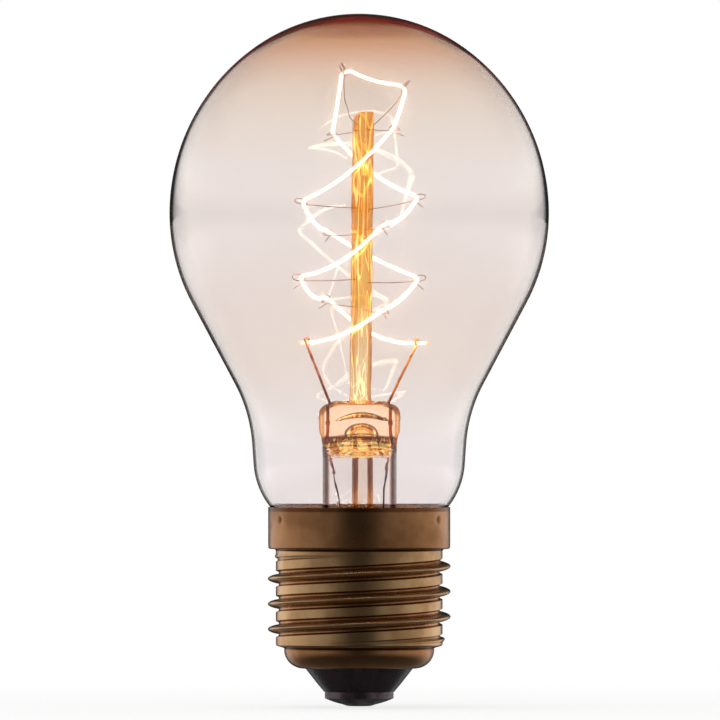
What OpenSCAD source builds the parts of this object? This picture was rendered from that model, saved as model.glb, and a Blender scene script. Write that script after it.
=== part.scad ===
// Incandescent lamp: a pear-shaped envelope of faintly amber glass on a screw cap, with a
// coiled filament strung in a double spiral round a glass rod.
// Millimetres, +Z up. The origin is the tip of the centre contact, on the lamp's axis, and
// the front of the lamp is towards -Y.

/* [Envelope] */
// Largest outside diameter of the glass
bulb_d = 54.6; // [53.8:0.2:55.4]
// Height from the centre contact to the crown of the glass
total_h = 99.6; // [99:0.2:100.6]
// Thickness of the blown wall
glass_wall = 0.5; // [0.45:0.05:0.7]
// Thickness of the glass at the crown, where the blown gather stays thicker
crown_wall = 0.75; // [0.65:0.05:0.9]
// Outside radius of the neck, above the cap
neck_r = 15.4; // [15.2:0.1:15.8]

/* [Screw cap] */
// Height of the rim of the cap's skirt
cap_top = 28.5; // [28.4:0.1:28.6]
// Height of the ledge where the skirt steps in to the thread
skirt_foot = 22.6; // [22.5:0.1:22.7]
// Outside radius of the plain skirt
skirt_r = 13.1; // [13.05:0.05:13.15]
// Thickness of the pressed brass
shell_wall = 0.3; // [0.25:0.05:0.3]
// Pitch of the screw thread, seven turns to the inch
thread_pitch = 3.629; // [3.6:0.01:3.65]
// Radius over the crests of the thread
crest_r = 13.15; // [13.05:0.05:13.2]
// Radius at the roots of the thread
root_r = 12; // [12:0.05:12.1]
// Radius of the centre contact
contact_r = 4.95; // [4.7:0.05:5.1]

/* [Stem] */
// Outside radius of the stem tube
tube_r = 5.35; // [5.2:0.05:5.5]
// Wall of the stem tube
tube_wall = 0.75; // [0.65:0.05:0.8]
// Width of the flattened press across the leads
press_w = 11.8; // [11.4:0.1:12]
// Height of the top of the press
press_top = 44; // [43.8:0.1:44.4]
// Radius of the glass rod that carries the filament
rod_r = 1.55; // [1.45:0.05:1.65]
// Height of the top of the rod
rod_top = 85.5; // [85:0.1:86]
// Outside radius of the exhaust tube
exhaust_r = 1.45; // [1.35:0.05:1.55]

/* [Filament mount] */
// Outside radius of the coiled filament
filament_r = 0.33; // [0.25:0.02:0.33]
// Radius of a support wire
support_r = 0.1; // [0.08:0.01:0.1]
// Radius of an inner lead wire
lead_r = 0.21; // [0.18:0.01:0.22]
// Distance of the middle hooks from the axis
hook_reach = 9.1; // [8.8:0.1:9.3]
// Turn of the cross of support wires about the axis, in degrees
cross_turn = 23.5; // [20:0.5:26]

/* [Hidden] */
$fn = 64;

// Profile of a turned wall. A wall is walked from its start as arcs and lines: heading 0 goes
// out from the axis and 90 goes straight down. An arc is [signed radius, heading at its end],
// positive where it bulges outwards, and a line is [length].
ARC_STEP = 5;
function arc_steps(from, to) = max(3, ceil(abs(to - from) / ARC_STEP));
function arc_point(p, radius, from, t) = p + radius * [sin(t) - sin(from), cos(t) - cos(from)];
function walk(moves, p, heading, i = 0) =
    i == len(moves) ? [] :
    len(moves[i]) == 1
        ? let (q = p + moves[i][0] * [cos(heading), -sin(heading)])
          concat([q], walk(moves, q, heading, i + 1))
        : let (radius = moves[i][0], to = moves[i][1], n = arc_steps(heading, to))
          concat(
              [for (k = [1:n]) arc_point(p, radius, heading, heading + (to - heading) * k / n)],
              walk(moves, arc_point(p, radius, heading, to), to, i + 1)
          );
function reversed(points) = [for (i = [len(points) - 1:-1:0]) points[i]];

// Envelope: crown, flank, belly, straight cone, hollow waist, neck, shoulder and collar
crown_r = 25.8;
crown_turn = 35;
belly_r = 27.5;
cone_lean = 28;
waist_r = 21.5;
neck_lean = 4;
shoulder_lean = 40;
collar_fillet = 0.8;
collar_r = 12.45;
collar_top = 27.9;
collar_foot = 23.4;

flank_r = (bulb_d / 2 - crown_r * sin(crown_turn)) / (1 - sin(crown_turn));
equator_z = total_h - crown_r * (1 - cos(crown_turn)) - flank_r * cos(crown_turn);
waist_in = waist_r * (cos(neck_lean) - cos(cone_lean));
belly_in = belly_r * (1 - cos(cone_lean));
cone_len = (bulb_d / 2 - belly_in - waist_in - neck_r) / sin(cone_lean);
neck_top_z = equator_z - belly_r * sin(cone_lean) - cone_len * cos(cone_lean)
    - waist_r * (sin(cone_lean) - sin(neck_lean));
// The neck's length and the shoulder's radius are solved so that the glass lands on the collar.
shoulder_in = neck_r - collar_r - collar_fillet * (1 - cos(shoulder_lean));
shoulder_down = neck_top_z - collar_top - collar_fillet * sin(shoulder_lean);
turn_in = cos(neck_lean) - cos(shoulder_lean);
turn_down = sin(shoulder_lean) - sin(neck_lean);
solve_by = turn_in * cos(neck_lean) - turn_down * sin(neck_lean);
neck_len = (turn_in * shoulder_down - turn_down * shoulder_in) / solve_by;
shoulder_r = (cos(neck_lean) * shoulder_in - sin(neck_lean) * shoulder_down) / solve_by;

// The inside of the crown is two arcs, which thin the glass down to the wall by thin_turn. Their
// radii are solved so that they land on the inside of the flank.
thick_turn = 30;
thin_turn = 45;
crown_in = crown_r * sin(crown_turn) + flank_r * (sin(thin_turn) - sin(crown_turn))
    - glass_wall * sin(thin_turn);
crown_down = crown_r * (1 - cos(crown_turn)) + flank_r * (cos(crown_turn) - cos(thin_turn))
    + glass_wall * cos(thin_turn) - crown_wall;
arc_in = sin(thin_turn) - sin(thick_turn);
arc_down = cos(thick_turn) - cos(thin_turn);
crown_solve_by = sin(thick_turn) * arc_down - (1 - cos(thick_turn)) * arc_in;
thick_r = (arc_down * crown_in - arc_in * crown_down) / crown_solve_by;
thin_r = (sin(thick_turn) * crown_down - (1 - cos(thick_turn)) * crown_in) / crown_solve_by;

function below_crown(inset) = [
    [flank_r - inset, 90],
    [belly_r - inset, 90 + cone_lean],
    [cone_len],
    [-waist_r - inset, 90 + neck_lean],
    [neck_len],
    [shoulder_r - inset, 90 + shoulder_lean],
    [-collar_fillet - inset, 90],
    [collar_top - collar_foot]
];
function profile_from(top_z, crown_arcs, inset) =
    concat([[0, top_z]], walk(concat(crown_arcs, below_crown(inset)), [0, top_z], 0));
function outside_profile(proud) =
    profile_from(total_h + proud, [[crown_r + proud, crown_turn]], -proud);
inside_profile =
    profile_from(total_h - crown_wall, [[thick_r, thick_turn], [thin_r, thin_turn]], glass_wall);

module glass_envelope() {
    color([0.95, 0.86, 0.8, 0.35])
    rotate_extrude()
    polygon(concat(outside_profile(0), reversed(inside_profile)));
}

// Screw cap: a plain skirt, a rolled thread and a turned-in bottom, pressed from one blank
thread_foot = 8.7;
thread_top = skirt_foot + shell_wall / 2;
thread_fade_low = [9, 10.4];
thread_fade_high = [22, 20.4];
thread_phase_z = 16.5;
thread_sharpness = 2.1;
thread_rows = 36;
thread_columns = 40;
lip_r = 10.8;
lip_z = 8.1;
mouth_r = 8;
mouth_z = 5.4;
join_overlap = 0.05;
skirt_corner = 0.3;
skirt_floor = skirt_foot + shell_wall;
dimple_z = 26.9;
dimple_turns = [-90 - 60, -90 + 60, 90];
dimple_ball = 0.9;
dimple_depth = 0.22;

function ramp(z, ends) =
    let (s = min(1, max(0, (z - ends[0]) / (ends[1] - ends[0])))) s * s * (3 - 2 * s);
function thread_height(angle, z) =
    let (turns = (z - thread_phase_z) / thread_pitch - angle / 360)
    pow((1 + cos(360 * turns)) / 2, thread_sharpness)
        * ramp(z, thread_fade_low) * ramp(z, thread_fade_high);
function thread_radius(angle, z) = root_r + (crest_r - root_r) * thread_height(angle, z);
function thread_ring(z, inset) = [
    for (j = [0:thread_columns - 1])
        let (angle = 360 * j / thread_columns, r = thread_radius(angle, z) - inset)
        [r * cos(angle), r * sin(angle), z]
];

module rolled_thread() {
    rows = thread_rows;
    columns = thread_columns;
    heights = [for (i = [0:rows]) thread_foot + (thread_top - thread_foot) * i / rows];
    outside = [for (z = heights) each thread_ring(z, 0)];
    inside = [for (z = heights) each thread_ring(z, shell_wall)];
    shift = len(outside);
    function at(i, j) = i * columns + j % columns;
    polyhedron(
        points = concat(outside, inside),
        faces = [
            for (i = [0:rows - 1], j = [0:columns - 1]) each [
                [at(i, j), at(i + 1, j), at(i + 1, j + 1)],
                [at(i, j), at(i + 1, j + 1), at(i, j + 1)],
                [shift + at(i, j), shift + at(i + 1, j + 1), shift + at(i + 1, j)],
                [shift + at(i, j), shift + at(i, j + 1), shift + at(i + 1, j + 1)]
            ],
            for (j = [0:columns - 1]) each [
                [at(0, j), at(0, j + 1), shift + at(0, j + 1)],
                [at(0, j), shift + at(0, j + 1), shift + at(0, j)],
                [at(rows, j), shift + at(rows, j + 1), at(rows, j + 1)],
                [at(rows, j), shift + at(rows, j), shift + at(rows, j + 1)]
            ]
        ]
    );
}

module skirt() {
    inner_r = root_r - shell_wall - join_overlap;
    rotate_extrude()
    polygon(concat(
        [
            [inner_r, skirt_foot],
            [skirt_r - skirt_corner, skirt_foot]
        ],
        [for (a = [-60:30:0])
            [skirt_r - skirt_corner * (1 - cos(a)), skirt_foot + skirt_corner * (1 + sin(a))]],
        [
            [skirt_r, cap_top],
            [skirt_r - shell_wall, cap_top],
            [skirt_r - shell_wall, skirt_floor],
            [inner_r, skirt_floor]
        ]
    ));
}

// The bottom of the shell runs in below the last root, then rolls over the insulator's edge.
module rolled_bottom() {
    bead = lip_z - mouth_z;
    outer = concat(
        [[root_r + join_overlap, thread_foot + shell_wall], [root_r + join_overlap, thread_foot]],
        [[lip_r, lip_z + 0.3]],
        [for (a = [0:15:75]) [mouth_r + (lip_r - mouth_r) * cos(a), lip_z - bead * sin(a)]],
        [[mouth_r, mouth_z]]
    );
    inner = [
        for (p = outer)
            p[1] > thread_foot ? [root_r - shell_wall - join_overlap, p[1]] :
            p[1] > lip_z ? [lip_r - shell_wall, p[1] + shell_wall * 0.6] :
            let (k = (p[0] - mouth_r) / (lip_r - mouth_r))
            [p[0] - shell_wall * k, p[1] + shell_wall * sqrt(1 - k * k)]
    ];
    rotate_extrude()
    polygon(concat(outer, reversed(inner)));
}

module dimple_balls(radius) {
    for (turn = dimple_turns)
        rotate(turn)
        translate([skirt_r - dimple_depth + dimple_ball, 0, dimple_z])
        sphere(r = radius);
}

module screw_shell() {
    color("#9a6b45")
    difference() {
        union() {
            skirt();
            rolled_thread();
            rolled_bottom();
            intersection() {
                dimple_balls(dimple_ball + shell_wall);
                translate([0, 0, skirt_foot])
                cylinder(r = skirt_r - shell_wall / 2, h = cap_top - skirt_foot);
            }
        }
        dimple_balls(dimple_ball);
    }
}

// Black glass insulator, moulded into the bottom of the shell round the centre contact
insulator_foot = 2.05;
insulator_top_r = 7.7;
insulator_shoulder = 0.17;
eyelet_r = 1.6;
eyelet_bore = 1.05;
eyelet_top = 4.2;
dish_floor = 4.4;
fuse_gap = 0.02;

module base_insulator() {
    inside_r = lip_r - shell_wall - fuse_gap;
    color("#16120f")
    rotate_extrude()
    polygon([
        [eyelet_r + fuse_gap, insulator_foot],
        [contact_r + insulator_shoulder, insulator_foot],
        [insulator_top_r, mouth_z - 0.05],
        [mouth_r - 0.05, mouth_z + shell_wall + 0.03],
        [9.25, mouth_z + shell_wall + 0.5],
        [10, mouth_z + shell_wall + 1.25],
        [inside_r, lip_z - 0.05],
        [inside_r - 0.3, lip_z + 0.3],
        [7.2, 7.6],
        [3.4, dish_floor],
        [eyelet_r + fuse_gap, dish_floor]
    ]);
}

// Centre contact: a domed plate with an eyelet that the lead comes down through. Solder fills the
// dished middle of the plate and carries its dome on down to the flat tip.
contact_dome_r = 11.5;
solder_r = 2.4;
tip_flat_r = 1.5;
dish_depth = 0.35;
function dome_z(r) = contact_dome_r - sqrt(contact_dome_r * contact_dome_r - r * r);

module contact_plate() {
    plate_steps = 5;
    dish_z = dome_z(solder_r) + dish_depth;
    color("#2a2523")
    rotate_extrude()
    polygon(concat(
        [
            [eyelet_bore, dish_z],
            [solder_r, dish_z]
        ],
        [for (k = [0:plate_steps])
            let (r = solder_r + (contact_r - solder_r) * k / plate_steps)
            [r, dome_z(r)]],
        [
            [contact_r, insulator_foot],
            [eyelet_r, insulator_foot],
            [eyelet_r, eyelet_top],
            [eyelet_bore, eyelet_top]
        ]
    ));
}

module contact_solder() {
    bore_r = eyelet_bore - fuse_gap;
    edge_r = solder_r - fuse_gap;
    top_z = dome_z(solder_r) + dish_depth - fuse_gap;
    color("#77736e")
    difference() {
        rotate_extrude()
        polygon([
            [0, 0],
            [tip_flat_r, 0],
            [1.8, 0.05],
            [2.1, 0.14],
            [edge_r, dome_z(solder_r) - 0.01],
            [edge_r, top_z],
            [bore_r, top_z],
            [bore_r, 2.4],
            [0, 2.6]
        ]);
        translate([0, 0, tip_flat_r])
        cylinder(r = outer_lead_r + fuse_gap, h = 3);
    }
}

// Solder that joins the side lead to the rim, in the corner between the brass and the glass
side_turn = 110;
module rim_solder() {
    color("#8d8a86")
    difference() {
        rotate(side_turn) {
            translate([skirt_r - 0.25, 0, cap_top + 0.15])
            sphere(r = 0.5);
            translate([gap_r, 0, cap_top - 1])
            cylinder(r = 0.35, h = 1.1);
        }
        rotate_extrude()
        polygon(concat(outside_profile(fuse_gap), [[0, collar_foot]]));
        difference() {
            translate([0, 0, cap_top - 2])
            cylinder(r = skirt_r + 1, h = 2);
            translate([0, 0, cap_top - 3])
            cylinder(r = skirt_r - shell_wall - fuse_gap, h = 4);
        }
        rotate(side_turn)
        translate([gap_r, 0, cap_top - 2])
        cylinder(r = side_lead_r + fuse_gap, h = 2 - (cap_top - collar_top) + fuse_gap);
    }
}

// Cement between the collar of the glass and the skirt, with a slot for the side lead
module basing_cement() {
    color("#b7a78e")
    difference() {
        translate([0, 0, skirt_floor + fuse_gap])
        cylinder(r = skirt_r - shell_wall - fuse_gap, h = cap_top - 1.1 - skirt_floor);
        translate([0, 0, skirt_foot])
        cylinder(r = collar_r + fuse_gap, h = cap_top - skirt_foot);
        dimple_balls(dimple_ball + shell_wall + fuse_gap);
        rotate(side_turn)
        translate([collar_r, 0, cap_top / 2])
        cube([2, 0.5, cap_top], center = true);
    }
}

// Stem: a tube flared to the collar, a flattened press, an exhaust tube and a centre rod
flare_start = 28.4;
flare_bend = 3.2;
flare_slope = 15;
press_foot = 35.6;
press_waist_z = 38;
press_waist_w = 10.9;
press_belly_z = 39.8;
press_thick = 4.6;
exhaust_top = 38.2;
exhaust_bore = 0.8;
exhaust_tip = 13;
exhaust_x = 0.5;
vent_r = 0.7;
bubble_r = 1.3;
rod_foot = 43.2;
rod_foot_x = 0.15;
rod_lean = 0.6;
seal_x = 4.3;

function flare_profile(inset) =
    let (
        bend_in = (flare_bend + inset) * (1 - sin(flare_slope)),
        rim_r = collar_r - glass_wall - fuse_gap,
        run = (rim_r - tube_r + inset - bend_in) / cos(flare_slope)
    )
    concat(
        [[tube_r - inset, press_foot]],
        walk([
            [press_foot - flare_start],
            [-flare_bend - inset, flare_slope],
            [run]
        ], [tube_r - inset, press_foot], 90)
    );

module stem_flare() {
    color([0.8, 0.72, 0.66, 0.5])
    rotate_extrude()
    polygon(concat(flare_profile(0), reversed(flare_profile(tube_wall))));
}

module press_slab(z, width, thick, height) {
    corner = thick / 2;
    translate([0, 0, z])
    linear_extrude(height)
    hull()
    for (side = [-1, 1])
        translate([side * (width / 2 - corner), 0])
        circle(r = corner, $fn = 32);
}

module stem_press() {
    color([0.95, 0.75, 0.5, 0.5])
    difference() {
        union() {
            hull() {
                translate([0, 0, press_foot])
                cylinder(r = tube_r, h = 0.3, $fn = 32);
                press_slab(press_waist_z, press_waist_w, press_thick, 0.2);
            }
            hull() {
                press_slab(press_waist_z, press_waist_w, press_thick, 0.2);
                press_slab(press_belly_z, press_w, press_thick, 0.2);
            }
            hull() {
                press_slab(press_belly_z, press_w, press_thick, 0.2);
                press_slab(press_top - 1.5, press_w, press_thick - 0.2, 0.2);
                press_slab(press_top - 0.5, press_w - 0.8, press_thick - 0.8, 0.1);
                press_slab(press_top - 0.1, press_w - 2.2, press_thick - 1.6, 0.1);
            }
        }
        hull() {
            translate([0, 0, press_foot - 1])
            cylinder(r = tube_r - tube_wall, h = 1, $fn = 32);
            press_slab(press_foot + 1.1, 6, 1.6, 0.1);
        }
        translate([exhaust_x, 0, press_foot])
        cylinder(r = exhaust_r + fuse_gap, h = exhaust_top - press_foot + fuse_gap);
        translate([exhaust_x, 0, exhaust_top])
        sphere(r = bubble_r);
        translate([exhaust_x, 0, exhaust_top + 0.5])
        rotate([90, 0, 0])
        cylinder(r = vent_r, h = press_thick);
        at_rod()
        translate([0, 0, -fuse_gap])
        cylinder(r = rod_r + fuse_gap, h = 5);
        for (side = [-1, 1])
            translate([side * seal_x, 0, press_foot - 1])
            cylinder(r = knot_r + fuse_gap, h = press_top - press_foot + 2, $fn = 24);
    }
}

module exhaust_tube() {
    color([0.8, 0.72, 0.66, 0.5])
    translate([exhaust_x, 0, 0])
    rotate_extrude()
    polygon([
        [0, exhaust_tip],
        [0.5, exhaust_tip + 0.4],
        [exhaust_r, exhaust_tip + 2.4],
        [exhaust_r, exhaust_top],
        [exhaust_bore, exhaust_top],
        [exhaust_bore, exhaust_tip + 3.6],
        [0, exhaust_tip + 2.2]
    ]);
}

// The rod leans a little to the right, as set by hand. Its own frame starts at its foot.
module at_rod() {
    translate([rod_foot_x, 0, rod_foot])
    rotate([0, rod_lean, 0])
    children();
}

module centre_rod() {
    top_round = 0.8;
    length = rod_top - rod_foot;
    color([1, 0.66, 0.3, 0.6])
    difference() {
        at_rod()
        rotate_extrude()
        polygon(concat(
            [[0, 0], [rod_r, 0]],
            [for (a = [0:15:90])
                [rod_r - top_round + top_round * cos(a), length - top_round + top_round * sin(a)]],
            [[0, length]]
        ));
        for (i = [1:last_knot - 1])
            support_bore(i);
    }
}

// Wires are tubes swept along a route. ref is a direction that the route never runs along.
function tangent(route, i) =
    unit(route[min(i + 1, len(route) - 1)] - route[max(i - 1, 0)]);
function tube_ring(route, i, radius, sides, ref) =
    let (t = tangent(route, i), u = unit(cross(ref, t)), v = cross(t, u))
    [for (k = [0:sides - 1])
        route[i] + radius * (cos(360 * k / sides) * u + sin(360 * k / sides) * v)];

module swept_tube(route, radius, sides, ref) {
    rings = len(route);
    function at(i, k) = i * sides + k % sides;
    polyhedron(
        points = [for (i = [0:rings - 1]) each tube_ring(route, i, radius, sides, ref)],
        faces = concat(
            [[for (k = [0:sides - 1]) k]],
            [for (i = [0:rings - 2], k = [0:sides - 1]) each [
                [at(i, k), at(i + 1, k), at(i + 1, k + 1)],
                [at(i, k), at(i + 1, k + 1), at(i, k + 1)]
            ]],
            [[for (k = [sides - 1:-1:0]) at(rings - 1, k)]]
        )
    );
}

// Support wires: out of the rod, one turn round the filament and a free tail.
// [turn about the axis, height at the rod, reach to the filament, height of the filament,
//  angle of the tail above the outward horizontal, length of the tail, any elbows as
//  reach and height]
loop_out = 0.95;
loop_up = 0.55;
loop_shift = 0.42;
loop_drift = 0.4;
wire_droop = 0.12;
rooted = 0.6;
front_turn = cross_turn - 91;
back_turn = cross_turn + 95;
left_turn = cross_turn + 180;
right_turn = cross_turn;
TOP_LEFT = [left_turn + 8, 83.6, 2.4, 91.2, 50, 1.6, [[1.45, 84.5], [1.95, 86], [2.5, 87.6]]];
TOP_RIGHT = [right_turn - 3, 82.7, 6.8, 89, 0, 1.6, [[5.4, 86.5]]];
UPPER_FRONT = [front_turn + 12, 83, 8.5, 82.9, -25, 1.9, []];
UPPER_BACK = [back_turn - 2, 82.8, 8.3, 82.4, -60, 1.7, []];
HIGH_LEFT = [left_turn, 71.65, 8.7, 72.5, -60, 1.3, []];
HIGH_RIGHT = [right_turn, 71.4, 9, 73.2, -35, 2, []];
MIDDLE_FRONT = [front_turn, 68.6, hook_reach, 69.1, -75, 1.4, []];
MIDDLE_BACK = [back_turn, 67.9, hook_reach, 68.2, -60, 1.4, []];
LOW_LEFT = [left_turn, 61.4, hook_reach, 61.6, -38, 2.1, []];
LOW_RIGHT = [right_turn, 60.95, hook_reach, 61.5, -40, 2.2, []];
BOTTOM_FRONT = [front_turn, 57.1, hook_reach, 57, -60, 1.2, []];
BOTTOM_BACK = [back_turn + 2, 57.5, hook_reach, 58.6, -20, 2.2, []];
// The hooks in the order in which the filament passes through them, from the left lead
HOOKS = [
    BOTTOM_FRONT, LOW_RIGHT, MIDDLE_BACK, HIGH_LEFT, UPPER_FRONT, TOP_RIGHT,
    TOP_LEFT, UPPER_BACK, HIGH_RIGHT, MIDDLE_FRONT, LOW_LEFT, BOTTOM_BACK
];

function unit(v) = v / norm(v);
function level(v) = unit([v[0], v[1], 0]);
function rod_x(z) = rod_foot_x + (z - rod_foot) * tan(rod_lean);
function outward(s) = [cos(s[0]), sin(s[0]), 0];
function hook_centre(s) = s[2] * outward(s) + [0, 0, s[3]];

// The filament's knots, and how it runs through the knot i: inward is where its bend opens.
LEFT_CLAMP = [-7.5, -1.5, 52.4];
RIGHT_CLAMP = [8.2, 1.5, 52.3];
filament_knots = concat([LEFT_CLAMP], [for (s = HOOKS) hook_centre(s)], [RIGHT_CLAMP]);
last_knot = len(filament_knots) - 1;
function back_way(i) = unit(filament_knots[i - 1] - filament_knots[i]);
function on_way(i) = unit(filament_knots[i + 1] - filament_knots[i]);
function inward(i) = unit(back_way(i) + on_way(i));
function along(i) = unit(on_way(i) - back_way(i));

// A wire's end is one turn of an oval in the plane of across and up. The oval is radii[0] across
// and radii[1] up, and a wire that runs in the direction heading touches it at loop_angle.
function loop_angle(heading, radii) = atan2(-cos(heading) / radii[0], sin(heading) / radii[1]);
function heading_to(from, to, across, up) = atan2((to - from) * up, (to - from) * across);
function loop(centre, across, up, radii, from, to, drift, steps) = [
    for (k = [0:steps])
        let (a = from + (to - from) * k / steps)
        centre + radii[0] * cos(a) * across + radii[1] * sin(a) * up
            + drift * (k / steps - 0.5) * cross(across, up)
];

// A support's oval lies square to the filament, and is longest the way that the wire comes.
function support_route(i) =
    let (
        s = HOOKS[i - 1],
        radii = [loop_out, loop_up],
        way = along(i),
        out = unit(outward(s) - (outward(s) * way) * way),
        above = cross(out, cross(out, way)[2] > 0 ? way : -way),
        foot = rooted * outward(s) + [rod_x(s[1]), 0, s[1]],
        elbows = [for (e = s[6]) e[0] * outward(s) + [0, 0, e[1]]],
        before = len(elbows) > 0 ? elbows[len(elbows) - 1] : foot,
        heading = heading_to(before, hook_centre(s), out, above),
        across = cos(heading) * out + sin(heading) * above,
        up = cos(heading) * above - sin(heading) * out,
        from = loop_angle(0, radii),
        to = loop_angle(s[4] - heading, radii) + 360,
        centre = hook_centre(s) + loop_shift * across,
        turn = loop(centre, across, up, radii, from, to, loop_drift, 12),
        tail = s[5] * (cos(s[4]) * out + sin(s[4]) * above),
        middle = (foot + turn[0]) / 2 - [0, 0, wire_droop]
    )
    concat([foot], len(elbows) > 0 ? elbows : [middle], turn, [turn[12] + tail]);

module support(s) {
    i = search([s], HOOKS)[0] + 1;
    color("#6d5a50")
    swept_tube(support_route(i), support_r, 6, along(i));
}

module support_bore(i) {
    route = support_route(i);
    way = unit(route[1] - route[0]);
    translate(route[0] - fuse_gap * way)
    rotate([0, acos(way[2]), atan2(way[1], way[0])])
    cylinder(r = support_r + fuse_gap, h = 2 * rod_r);
}

// Lead wires: a nickel-plated inner lead with its end folded over the filament, a short seal
// wire welded to it in the press, and a copper outer lead
outer_lead_r = 0.15;
side_lead_r = 0.12;
seal_r = 0.2;
knot_r = 0.28;
knot_len = 0.5;
inner_knot_z = 40.8;
clamp_r = 0.62;
clamp_drift = 0.5;
clamp_sweep = 230;
left_way = level(on_way(0));
right_way = level(back_way(last_knot));

// The fold lies square to the filament, which runs through it along way.
function lead_route(side, clamp, way) =
    let (
        bend = [side * seal_x, 0, press_top - 0.2],
        square = [-way[1], way[0], 0],
        across = square[0] * side > 0 ? square : -square,
        up = [0, 0, 1],
        radii = [clamp_r, clamp_r],
        from = loop_angle(heading_to(bend, clamp, across, up), radii)
    )
    concat(
        [[side * seal_x, 0, inner_knot_z + knot_len / 2], bend, bend + [side * 0.05, 0, 0.25]],
        loop(clamp, across, up, radii, from, from + clamp_sweep, clamp_drift, 10)
    );

module inner_lead(side, clamp, way) {
    color("#8a4a2a")
    swept_tube(lead_route(side, clamp, way), lead_r, 8, way);
}

function seal_foot(side) = side < 0 ? [-3.66, 0, 33.6] : [4.0, 0, 34.2];
module seal_wire(side) {
    foot = seal_foot(side);
    color("#7b2d1e") {
        translate([side * seal_x, 0, inner_knot_z - knot_len / 2])
        cylinder(r = knot_r, h = knot_len, $fn = 24);
        swept_tube([
            [side * seal_x, 0, inner_knot_z],
            [side * seal_x, 0, press_foot],
            foot + [0, 0, knot_len / 2]
        ], seal_r, 8, [0, 1, 0]);
        translate(foot - [0, 0, knot_len / 2])
        cylinder(r = knot_r, h = knot_len, $fn = 24);
    }
}

// The left lead leaves the flare under the collar and climbs between the glass and the skirt.
gap_r = collar_r + (skirt_r - shell_wall - collar_r) / 2;
module outer_lead_left() {
    foot = seal_foot(-1) - [0, 0, knot_len / 2];
    side = [cos(side_turn), sin(side_turn), 0];
    under = skirt_floor + 0.25;
    color("#3a2c2a")
    swept_tube([
        foot,
        foot - [0, 0, 0.3],
        [-2.9, 0.1, 29.6],
        [-2.6, 0.5, 27.2],
        [-2.5, 2, 24.6],
        7 * side + [0, 0, under + 0.1],
        (gap_r - 0.5) * side + [0, 0, under],
        (gap_r - 0.12) * side + [0, 0, under + 0.08],
        gap_r * side + [0, 0, under + 0.5],
        gap_r * side + [0, 0, collar_top]
    ], side_lead_r, 6, [cos(side_turn + 90), sin(side_turn + 90), 0]);
}

// The right lead runs past the exhaust tip, through the insulator, to the centre contact.
module outer_lead_right() {
    foot = seal_foot(1) - [0, 0, knot_len / 2];
    color("#3a2c2a")
    swept_tube([
        foot,
        foot - [0, 0, 0.3],
        [3.6, 0, 31.2],
        [3.5, 0, 28],
        [3.4, 0, 18],
        [2.8, 0, 13],
        [1.4, 0, 9.5],
        [0.3, 0, 7],
        [0, 0, 5.6],
        [0, 0, tip_flat_r + fuse_gap]
    ], outer_lead_r, 6, [0, 1, 0]);
}

// Filament: one coil strung from clamp to clamp, bent round each hook. A span sags as it glows.
bend_r = 1;
bend_steps = 4;
SPAN_STOPS = [0.25, 0.5, 0.75];
SPAN_SAG = [0.75, 0.55, 0.35, 0.9, 1.1, 0.2, 0.4, 0.2, 1.2, 0.9, 1.3, 1.1, 1.5];
LEFT_TAIL = 1;
RIGHT_TAIL = 1.8;

// A bend is an arc through the middle of its hook, with its ends along the two spans.
function bend_arc(i) =
    let (half = 90 - acos(on_way(i) * inward(i)))
    [for (k = [0:bend_steps])
        let (a = half * (2 * k / bend_steps - 1))
        filament_knots[i] + bend_r * ((1 - cos(a)) * inward(i) + sin(a) * along(i))];
function clamped_end(clamp, way, tail) =
    [clamp - (tail + 0.3) * way, clamp - 0.3 * way, clamp, clamp + 0.3 * way, clamp + 0.9 * way];
bends = concat(
    [clamped_end(LEFT_CLAMP, left_way, LEFT_TAIL)],
    [for (i = [1:last_knot - 1]) bend_arc(i)],
    [reversed(clamped_end(RIGHT_CLAMP, right_way, RIGHT_TAIL))]
);
function span_point(i, s) =
    let (from = bends[i][len(bends[i]) - 1], to = bends[i + 1][0])
    from + s * (to - from) - [0, 0, 4 * SPAN_SAG[i] * s * (1 - s)];
filament_route = concat(
    [for (i = [0:last_knot - 1]) each
        concat(bends[i], [for (s = SPAN_STOPS) span_point(i, s)])],
    bends[last_knot]
);

module filament() {
    color("#ffe9b0")
    swept_tube(filament_route, filament_r, 8, [0, 0, 1]);
}

glass_envelope();
screw_shell();
base_insulator();
contact_plate();
contact_solder();
rim_solder();
basing_cement();
stem_flare();
stem_press();
exhaust_tube();
centre_rod();
inner_lead(-1, LEFT_CLAMP, left_way);  // inner_lead_left
inner_lead(1, RIGHT_CLAMP, right_way);  // inner_lead_right
seal_wire(-1);  // seal_wire_left
seal_wire(1);  // seal_wire_right
outer_lead_left();
outer_lead_right();
filament();
support(TOP_LEFT);  // support_top_left
support(TOP_RIGHT);  // support_top_right
support(UPPER_FRONT);  // support_upper_front
support(UPPER_BACK);  // support_upper_back
support(HIGH_LEFT);  // support_high_left
support(HIGH_RIGHT);  // support_high_right
support(MIDDLE_FRONT);  // support_middle_front
support(MIDDLE_BACK);  // support_middle_back
support(LOW_LEFT);  // support_low_left
support(LOW_RIGHT);  // support_low_right
support(BOTTOM_FRONT);  // support_bottom_front
support(BOTTOM_BACK);  // support_bottom_back
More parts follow.
